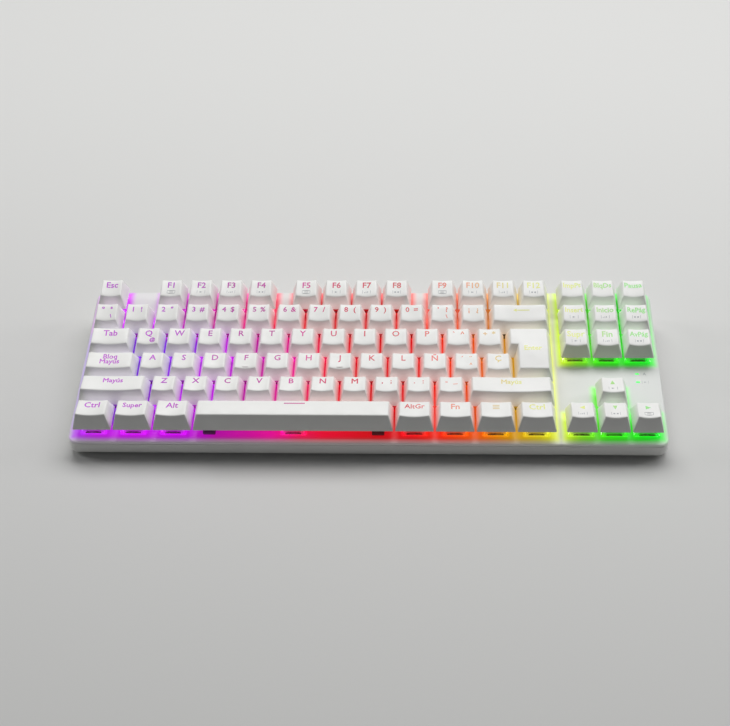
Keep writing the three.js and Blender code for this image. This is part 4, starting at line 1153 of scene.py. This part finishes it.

# %% [markdown]
# ## The plate
#
# The plate is 1.5 mm sheet steel, punched with a square for every switch and powder coated white. A flat
# curve with holes is the easiest way to draw punched sheet: Blender fills it, gives it thickness and rounds
# its edges in one go. Powder coat flows before it sets, which leaves a gentle orange peel about a
# millimetre across.
#
# Its glow is the lamps' light, painted on the plate. Under and beside the keys that light is much stronger
# than the room's, so there the coat's colour is painted towards the light's colour too. Further out the
# light is weak and mixes to a paler tint.
# It shows furthest out on the front margin, which the keys shade from the room's light.

# %% The plate's finish
PLATE_GLOW = 0.62
GLOW_FROM, GLOW_TO, SPILL_TO = -1.5, 4.0, 6.0
GLOW_TINT = 0.9
FRONT_MARGIN, PALER_FROM, PALER_BY = (2.0, 6.0), 0.5, 0.8
DEEP_IN_BLOCK, DEEP_SHARE = (-10.0, -3.0), 0.7
BACK_GAPS = (88.0, 98.0, 1.0, 0.5)
powder_coat, tree, shader = new_material("white_powder_coat", Base_Color=linear("#f0f0ee"), Roughness=0.42,
                                         IOR=1.5)
grain(tree, shader, size_mm=1.1, height_mm=0.012, detail=1.0)
point = plate_point(tree)
hue = light_colour(tree, point)
distance = keys_distance(tree, point)
fade = add(tree, "ShaderNodeMapRange", [distance, GLOW_FROM, GLOW_TO, 1.0, 0.0],
           interpolation_type="SMOOTHSTEP").outputs[0]
along = add(tree, "ShaderNodeSeparateXYZ", [point]).outputs[1]
spill_end = add(tree, "ShaderNodeMapRange", [along, *FRONT_MARGIN, SPILL_TO, GLOW_TO]).outputs[0]
spill = add(tree, "ShaderNodeMapRange", [distance, GLOW_FROM, spill_end, 1.0, 0.0],
            interpolation_type="SMOOTHSTEP").outputs[0]
pale = add(tree, "ShaderNodeMapRange", [distance, PALER_FROM, GLOW_TO + 0.6, 0.0, PALER_BY]).outputs[0]
washed = add(tree, "ShaderNodeMix", {0: pale, 6: hue, 7: linear("#f4f0f0")}, data_type="RGBA").outputs[2]
tree.links.new(washed, shader.inputs["Emission Color"])
glows = (PLATE_GLOW * DEEP_SHARE, PLATE_GLOW)
deep = add(tree, "ShaderNodeMapRange", [distance, *DEEP_IN_BLOCK, *glows]).outputs[0]
back_gaps = add(tree, "ShaderNodeMapRange", [along, *BACK_GAPS]).outputs[0]
reach = add(tree, "ShaderNodeMath", [deep, back_gaps], operation="MULTIPLY").outputs[0]
strength = add(tree, "ShaderNodeMath", [spill, reach], operation="MULTIPLY")
tree.links.new(strength.outputs[0], shader.inputs["Emission Strength"])
# The coat's colour mixed towards the light's colour near the keys is painted lamp light.
drowned = add(tree, "ShaderNodeMath", [fade, GLOW_TINT], operation="MULTIPLY").outputs[0]
coat_and_painted_light = add(tree, "ShaderNodeMix", {0: drowned, 6: linear("#dcdddb"), 7: hue}, data_type="RGBA")
tree.links.new(coat_and_painted_light.outputs[2], shader.inputs["Base Color"])
print(powder_coat.name, "has", len(tree.nodes), "nodes")

# %% The punched sheet
CORNER_RADIUS = 6.0
SHEET_EDGE = 0.6
PUNCHED_HALF, PUNCHED_CORNER = 7.0, 0.3
GUIDE_SLOT_HALF, GUIDE_SLOT_BEHIND = (3.8, 6.8), 2.0


def closed_spline(curve, points):
    """Adds a closed line through the points to a flat curve."""
    spline = curve.splines.new("POLY")
    spline.points.add(len(points) - 1)
    for target, spot in zip(spline.points, points):
        target.co = (spot.x, spot.y, 0, 1)
    spline.use_cyclic_u = True


def punched_sheet():
    """The plate's mesh: a flat curve, filled between its outer edge and its holes."""
    curve = bpy.data.curves.new("sheet", "CURVE")
    curve.dimensions = "2D"
    curve.fill_mode = "BOTH"
    curve.extrude = PLATE_THICKNESS / 2 - SHEET_EDGE
    curve.bevel_depth = SHEET_EDGE
    curve.bevel_resolution = 2
    curve.offset = -SHEET_EDGE
    closed_spline(curve, outline(PLATE_WIDTH / 2, PLATE_DEPTH / 2, CORNER_RADIUS, 0, (0, PLATE_DEPTH / 2),
                                 steps=10))
    for x, y, _ in switch_spots:
        closed_spline(curve, outline(PUNCHED_HALF, PUNCHED_HALF, PUNCHED_CORNER, 0, (x, y), steps=1)[::-1])
    for x, y, _ in guide_spots:
        middle = (x, y + GUIDE_SLOT_BEHIND)
        closed_spline(curve, outline(*GUIDE_SLOT_HALF, PUNCHED_CORNER, 0, middle, steps=1)[::-1])
    mesh = finished_mesh(object_of(curve))
    mesh.transform(Matrix.Translation((0, 0, -PLATE_THICKNESS / 2)))
    mesh.materials.clear()
    return coated(mesh, powder_coat)


sheet = punched_sheet()
place("switch_plate_sheet", sheet, "base", ["switch_plate"])
print("sheet has", len(sheet.polygons), "faces")

# %% [markdown]
# ## The case
#
# The case is an ABS tray. Its walls are level at the bottom and cut off along the tilt at the top, and its
# lower edge is rolled under. The stack of outlines goes round the outside, over the rim and down the
# inside. Bosses for the feet and the screws are joined to it and their holes are cut with Boolean
# modifiers, as milling would.

# %% The tray
CASE_DEPTH = (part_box("bottom_case")[1].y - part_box("bottom_case")[0].y) / MM
CASE_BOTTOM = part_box("bottom_case")[0].z / MM
CASE_WALL, CASE_FLOOR = 2.2, 1.8
ROLL_RADIUS, ROLL_STEPS = 2.6, 5
RIM_UNDER_PLATE = PLATE_THICKNESS + 0.1
RIM_CHAMFER = 0.3

case_abs, tree, shader = new_material("white_ABS_spark_textured", Base_Color=linear("#ecece9"), IOR=1.53,
                                      Roughness=0.5)
spark = grain(tree, shader, size_mm=0.25, height_mm=0.012)
gloss = add(tree, "ShaderNodeMapRange", [spark, *NOISE_SPAN, 0.42, 0.58])
tree.links.new(gloss.outputs[0], shader.inputs["Roughness"])


def under_plate(drop):
    """The height over the desk of the plane that lies so far under the plate's top, as a function of x, y."""
    return lambda x, y: front_height + y * sin(TILT) / cos(TILT) - drop / cos(TILT)


def case_ring(inset, z, steps=8):
    """The case's outline, drawn in by inset."""
    return outline(PLATE_WIDTH / 2 - inset, CASE_DEPTH / 2 - inset, CORNER_RADIUS - inset, z,
                   (0, CASE_DEPTH / 2), steps)


rolled = [case_ring(ROLL_RADIUS * (1 - sin(a)), CASE_BOTTOM + ROLL_RADIUS * (1 - cos(a)))
          for a in [i / ROLL_STEPS * pi / 2 for i in range(ROLL_STEPS + 1)]]
tray = loft([*rolled, case_ring(0, under_plate(RIM_UNDER_PLATE + RIM_CHAMFER)),
             case_ring(RIM_CHAMFER, under_plate(RIM_UNDER_PLATE)),
             case_ring(CASE_WALL, under_plate(RIM_UNDER_PLATE)),
             case_ring(CASE_WALL, CASE_BOTTOM + CASE_FLOOR)])
print(f"tray {PLATE_WIDTH:.1f} by {CASE_DEPTH:.1f} mm")

# %% Bosses, pockets and holes
foot_low, foot_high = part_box("left_foot")
FOOT_X = abs(foot_low.x + foot_high.x) / 2 / MM
FOOT_THICKNESS = (foot_high.z - foot_low.z) / MM
HINGE_Y = (foot_high.y - plate_low.y) / MM - FOOT_THICKNESS / 2
HINGE_Z = (foot_low.z + foot_high.z) / 2 / MM
FOOT_LENGTH = (foot_high.y - foot_low.y) / MM - FOOT_THICKNESS / 2
FOOT_WIDTH = 28.0
POCKET_PLAY, POCKET_WALL = 0.3, 2
PIN_HOLE_RADIUS, PIN_HOLE_DEPTH = 1.5, 1.7
SCREW_X, SCREW_YS = PLATE_WIDTH / 2 - 12, (27.0, CASE_DEPTH - 34)
SCREW_SPOTS = [(x, y) for x in (-SCREW_X, 0, SCREW_X) for y in SCREW_YS]
SCREW_BOSS_RADIUS, SCREW_BOSS_HEIGHT = 3.6, 5.5
RECESS_RADIUS, SCREW_RECESS = 2.8, 2.0
PORT_HALF, PORT_CORNER = (6.5, 3.5), 1.6
INTO_FLOOR, PAST_FLOOR = 1, 1
ROUND_FLAT = 0.01


def box_between(low, high, radius=0.4):
    """A box from its lowest to its highest corner, its upright edges rounded."""
    centre = ((low[0] + high[0]) / 2, (low[1] + high[1]) / 2)
    half = ((high[0] - low[0]) / 2, (high[1] - low[1]) / 2)
    return loft([outline(*half, radius, low[2], centre), outline(*half, radius, high[2], centre)])


def rod_x(x0, x1, y, z, radius, sides=20):
    """A rod along x."""
    rings = [[Vector((x, y + radius * cos(2 * pi * i / sides), z + radius * sin(2 * pi * i / sides)))
              for i in range(sides)] for x in (x0, x1)]
    return loft(rings)


def pillar(radius, heights, centre=(0, 0)):
    """A round pillar through the given heights. A hair of flat at each quarter keeps its points apart."""
    return loft([outline(radius, radius, radius - ROUND_FLAT, z, centre) for z in heights])


bosses, cutters = [], []
for side in (-1, 1):
    x = side * FOOT_X
    half = FOOT_WIDTH / 2 + POCKET_PLAY
    front, back = HINGE_Y - FOOT_LENGTH - POCKET_PLAY, HINGE_Y + FOOT_THICKNESS / 2 + POCKET_PLAY
    roof = HINGE_Z + FOOT_THICKNESS / 2 + POCKET_PLAY
    bosses.append(box_between((x - half - POCKET_WALL, front - POCKET_WALL, CASE_BOTTOM + INTO_FLOOR),
                              (x + half + POCKET_WALL, back + POCKET_WALL, roof + POCKET_WALL)))
    cutters.append(box_between((x - half, front, CASE_BOTTOM - PAST_FLOOR), (x + half, back, roof)))
    cutters.append(rod_x(x - half - PIN_HOLE_DEPTH, x + half + PIN_HOLE_DEPTH, HINGE_Y, HINGE_Z,
                         PIN_HOLE_RADIUS))
for x, y in SCREW_SPOTS:
    boss_heights = (CASE_BOTTOM + INTO_FLOOR, CASE_BOTTOM + SCREW_BOSS_HEIGHT)
    bosses.append(pillar(SCREW_BOSS_RADIUS, boss_heights, (x, y)))
    cutters.append(pillar(RECESS_RADIUS, (CASE_BOTTOM - PAST_FLOOR, CASE_BOTTOM + SCREW_RECESS), (x, y)))
socket_low, socket_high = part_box("usb_socket")
PORT_Z = (socket_low.z + socket_high.z) / 2 / MM
cutters.append(loft([[Vector((p.x, y, PORT_Z + p.y)) for p in outline(*PORT_HALF, PORT_CORNER, 0)]
                     for y in (CASE_DEPTH + 2, CASE_DEPTH - 4)]))


def cut_and_joined(mesh, joined, removed):
    """A mesh with solids joined to it and others cut out of it."""
    obj = object_of(mesh)
    operands = []
    for operation, solids in (("UNION", joined), ("DIFFERENCE", removed)):
        for solid in solids:
            operand = object_of(solid)
            operands.append(operand)
            step = obj.modifiers.new(operation, "BOOLEAN")
            step.operation = operation
            step.solver = "EXACT"
            step.object = operand
    result = finished_mesh(obj)
    for operand in operands:
        bpy.data.objects.remove(operand)
    return result


case = cut_and_joined(tray, bosses, cutters)
case.materials.clear()
place("case_tray", coated(case, case_abs), "base", ["bottom_case"], matrix=world_from_desk)
print("case has", len(case.polygons), "faces")

# %% [markdown]
# ## Feet, pads and screws
#
# The flip-out feet are small ABS levers with a rubber toe. They lie folded in their pockets. Silicone pads
# keep the keyboard off the desk; rubber is matt and takes up dust, so its grain is coarser and its colour
# uneven.

# %% The feet
foot_rubber, tree, shader = new_material("black_silicone_rubber", Base_Color=linear("#202124"), Roughness=0.8)
dust = grain(tree, shader, size_mm=0.5, height_mm=0.02, detail=5.0)
grime = add(tree, "ShaderNodeMix", {0: dust, 6: linear("#1b1c1e"), 7: linear("#2e2f33")}, data_type="RGBA")
tree.links.new(grime.outputs[2], shader.inputs["Base Color"])

TOE, TOE_OVERLAP, TOE_LOWER = 4.0, 0.1, 0.2
LEVER_CORNER, TOE_CORNER = 1.0, 1.4
PIN_PROUD, PIN_RADIUS = 1.4, 1.2
for side, label in ((-1, "left_foot"), (1, "right_foot")):
    left, right = side * FOOT_X - FOOT_WIDTH / 2, side * FOOT_X + FOOT_WIDTH / 2
    low, high = HINGE_Z - FOOT_THICKNESS / 2, HINGE_Z + FOOT_THICKNESS / 2
    toe_y = HINGE_Y - FOOT_LENGTH
    lever = join_meshes([
        box_between((left, toe_y + TOE, low), (right, HINGE_Y, high), LEVER_CORNER),
        rod_x(left, right, HINGE_Y, HINGE_Z, FOOT_THICKNESS / 2),
        rod_x(left - PIN_PROUD, right + PIN_PROUD, HINGE_Y, HINGE_Z, PIN_RADIUS)])
    place(label + "_lever", coated(lever, case_abs), label, [label], matrix=world_from_desk)
    toe = box_between((left, toe_y, low), (right, toe_y + TOE + TOE_OVERLAP, high - TOE_LOWER), TOE_CORNER)
    place(label + "_toe", coated(toe, foot_rubber), label, matrix=world_from_desk)
print(f"feet of {FOOT_LENGTH:.1f} mm, {FOOT_THICKNESS:.1f} mm thick")

# %% The pads
PADS = ("front_left_pad", "front_right_pad", "back_left_pad", "back_right_pad")
for name in PADS:
    low, high = (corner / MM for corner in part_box(name))
    centre = ((low.x + high.x) / 2, (low.y + high.y) / 2 - plate_low.y / MM)
    half_x, half_y = (high.x - low.x) / 2, (high.y - low.y) / 2
    rings = ((0.4, 2.0, 0.0), (0.1, 2.2, 0.15), (0.0, 2.3, 0.4), (0.0, 2.3, high.z))
    pad = loft([outline(half_x - inset, half_y - inset, radius, z, centre) for inset, radius, z in rings])
    place("rubber_" + name, coated(pad, foot_rubber), "base", [name], matrix=world_from_desk)
print(len(PADS), "pads")

# %% [markdown]
# The case is held together from below by six pan-head screws in recesses. One screw is modelled with a
# cross recess and scattered into all six holes.

# %% The screws
screw_zinc, tree, shader = new_material("black_zinc_screw", Base_Color=linear("#3a3a3c"), Metallic=1.0,
                                        Roughness=0.35)
grain(tree, shader, size_mm=0.15, height_mm=0.004)
head = loft([outline(2.4, 2.4, 2.39, 0.0), outline(2.4, 2.4, 2.39, -0.8), outline(1.9, 1.9, 1.89, -1.3)])
slots = [box_between((-1.3, -0.3, -1.6), (1.3, 0.3, -0.6), 0.1),
         box_between((-0.3, -1.3, -1.7), (0.3, 1.3, -0.6), 0.1)]
head.flip_normals()
screw = cut_and_joined(head, [], slots)
screw_spots = [(x, y, CASE_BOTTOM + SCREW_RECESS) for x, y in SCREW_SPOTS]
place("case_screws", scattered(screw, screw_spots, screw_zinc), "base", matrix=world_from_desk)
print(len(screw_spots), "screws")

# %% [markdown]
# ## Socket, board and indicators
#
# The cable plugs in at the back: a drawn steel shell round a black contact tongue. The board's solid is
# right as it is, so it only gets a finish: a dark solder mask over copper tracks. The two lock indicators
# are the windows of one clear light guide, rounded at the ends.

# %% The cable socket
shell_steel, tree, shader = new_material("tinned_shell_steel", Base_Color=linear("#c6c7c9"), Metallic=1.0,
                                         Roughness=0.3)
grain(tree, shader, size_mm=0.3, height_mm=0.003)
contact_black, tree, shader = new_material("black_LCP_tongue", Base_Color=linear("#17181a"), Roughness=0.45)
grain(tree, shader, size_mm=0.2, height_mm=0.004)

SOCKET_DEPTH, SOCKET_INSET = 7.0, 0.2
SOCKET_FLOOR = 0.8
TONGUE_FROM, TONGUE_INSET = 0.5, 0.8
socket_back = (socket_high.y - plate_low.y) / MM - SOCKET_INSET
socket_front = socket_back - SOCKET_DEPTH


def across_ring(half_x, half_z, radius, y):
    """A rounded outline that stands upright, facing the back."""
    return [Vector((-p.x, y, PORT_Z + p.y)) for p in outline(half_x, half_z, radius, 0)]


shell = loft([across_ring(4.4, 1.55, 1.5, socket_front), across_ring(4.4, 1.55, 1.5, socket_back),
              across_ring(4.1, 1.25, 1.2, socket_back),
              across_ring(4.1, 1.25, 1.2, socket_front + SOCKET_FLOOR)])
place("socket_shell", coated(shell, shell_steel), "base", ["usb_socket"], matrix=world_from_desk)
tongue = loft([across_ring(3.3, 0.35, 0.3, y)
               for y in (socket_front + TONGUE_FROM, socket_back - TONGUE_INSET)])
place("socket_tongue", coated(tongue, contact_black), "base", matrix=world_from_desk)
print(f"socket {PORT_Z:.1f} mm over the desk")

# %% The board's finish
TRACK_SPACING, TRACK_WIDTH = PITCH / 2, 0.04
solder_mask, tree, shader = new_material("dark_solder_mask", Base_Color=linear("#13201a"), Roughness=0.35,
                                         IOR=1.5)
spot = add(tree, "ShaderNodeTexCoord").outputs["Object"]
tracks = add(tree, "ShaderNodeTexBrick", {"Vector": spot, "Color1": linear("#16261e"),
                                          "Color2": linear("#1a2d22"), "Mortar": linear("#2c4a36"),
                                          "Scale": 1 / (TRACK_SPACING * MM), "Mortar Size": TRACK_WIDTH})
tree.links.new(tracks.outputs[0], shader.inputs["Base Color"])
grain(tree, shader, size_mm=0.8, height_mm=0.01)
board = frame["nodes"]["circuit_board"]
board.data.materials.clear()
coated(board.data, solder_mask)
print(board.name, "has its solder mask")

# %% The lock indicators
INDICATOR_GLOW, DULLEST_SHARE = 0.85, 0.7
WINDOW_Y, SIGN_X, SIGN_SIZE, SIGN_WIDEST = 3.2, 4.4, 2.6, 4
guide_green, tree, shader = new_material("lit_green_light_guide", Base_Color=linear("#18c83c"), Roughness=0.2,
                                         IOR=1.49, Emission_Color=linear("#08e43c"))
haze = grain(tree, shader, size_mm=0.4, height_mm=0.004)
lit = add(tree, "ShaderNodeMapRange", [haze, *NOISE_SPAN, INDICATOR_GLOW * DULLEST_SHARE, INDICATOR_GLOW])
tree.links.new(lit.outputs[0], shader.inputs["Emission Strength"])

lens_low, lens_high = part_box("indicator_lens")
indicator_x = (lens_low.x + lens_high.x) / 2 / MM
indicator_y = (world_from_plate.inverted() @ ((lens_low + lens_high) / 2)).y
windows = [loft([outline(1.3, 0.7, 0.69, z, (indicator_x, y), steps=6) for z in (-2.0, 0.05)])
           for y in (indicator_y + WINDOW_Y, indicator_y - WINDOW_Y)]
guide_block = loft([outline(2.7, 5.3, 0.8, z, (indicator_x, indicator_y)) for z in (-2.6, -1.6)])
indicator = coated(join_meshes([*windows, guide_block]), guide_green)
place("indicator_light_guide", indicator, "base", ["indicator_lens"])

# Two tiny signs are printed beside the windows.
signs = [legend_on(lambda x, y: 0.0, sign, SIGN_SIZE, indicator_x + SIGN_X, indicator_y + side * WINDOW_Y,
                   SIGN_WIDEST, 0)
         for side, sign in ((1, "A"), (-1, "icon2"))]
place("indicator_signs", coated(join_meshes(signs), print_ink), "base")
print(len(windows), "windows and", len(signs), "signs")

# %% [markdown]
# ## The studio
#
# A pale floor under soft light. The key light is a wide panel above and behind, so that the tops are bright
# and the faces towards the viewer fall into shade, which lets the coloured light show. Two strips light the
# caps' sides. The world is almost dark, because any light from the front would flatten the rows.

# %% Floor and lights
FLOOR_HALF, FLOOR_DROP = 6, 0.0002
WORLD_STRENGTH = 0.08
floor_paint, tree, shader = new_material("pale_studio_floor", Base_Color=linear("#d6d6d4"), Roughness=0.7)
grain(tree, shader, size_mm=3.0, height_mm=0.02)
floor_mesh = bpy.data.meshes.new("floor")
floor_corners = bar(-FLOOR_HALF, -FLOOR_HALF, FLOOR_HALF, FLOOR_HALF)
floor_mesh.from_pydata([(x, y, 0) for x, y in floor_corners], [], [(0, 1, 2, 3)])
floor = object_of(coated(floor_mesh, floor_paint), "floor")
floor.location.z = -FLOOR_DROP


def panel(name, location, target, size, watts):
    """A soft rectangular light panel that faces the target. size is its width and depth."""
    light = bpy.data.lights.new(name, "AREA")
    light.shape = "RECTANGLE"
    light.size, light.size_y = size
    light.energy = watts
    obj = bpy.data.objects.new(name, light)
    obj.location = location
    obj.rotation_euler = (Vector(target) - Vector(location)).to_track_quat("-Z", "Y").to_euler()
    bpy.context.scene.collection.objects.link(obj)


panel("key_panel", (0.1, 0.7, 1.1), (0, 0, 0), (1.6, 0.5), 16)
panel("right_strip", (1.1, 0.3, 0.6), (0, 0, 0), (0.3, 0.8), 3)
panel("left_strip", (-1.1, 0.3, 0.6), (0, 0, 0), (0.3, 0.8), 3)
world = bpy.data.worlds.new("studio")
world.use_nodes = True
background = world.node_tree.nodes["Background"]
background.inputs["Color"].default_value = linear("#e8eaee")
background.inputs["Strength"].default_value = WORLD_STRENGTH
bpy.context.scene.world = world
bpy.context.scene.view_settings.view_transform = "Standard"
print(len(bpy.data.lights), "light panels")
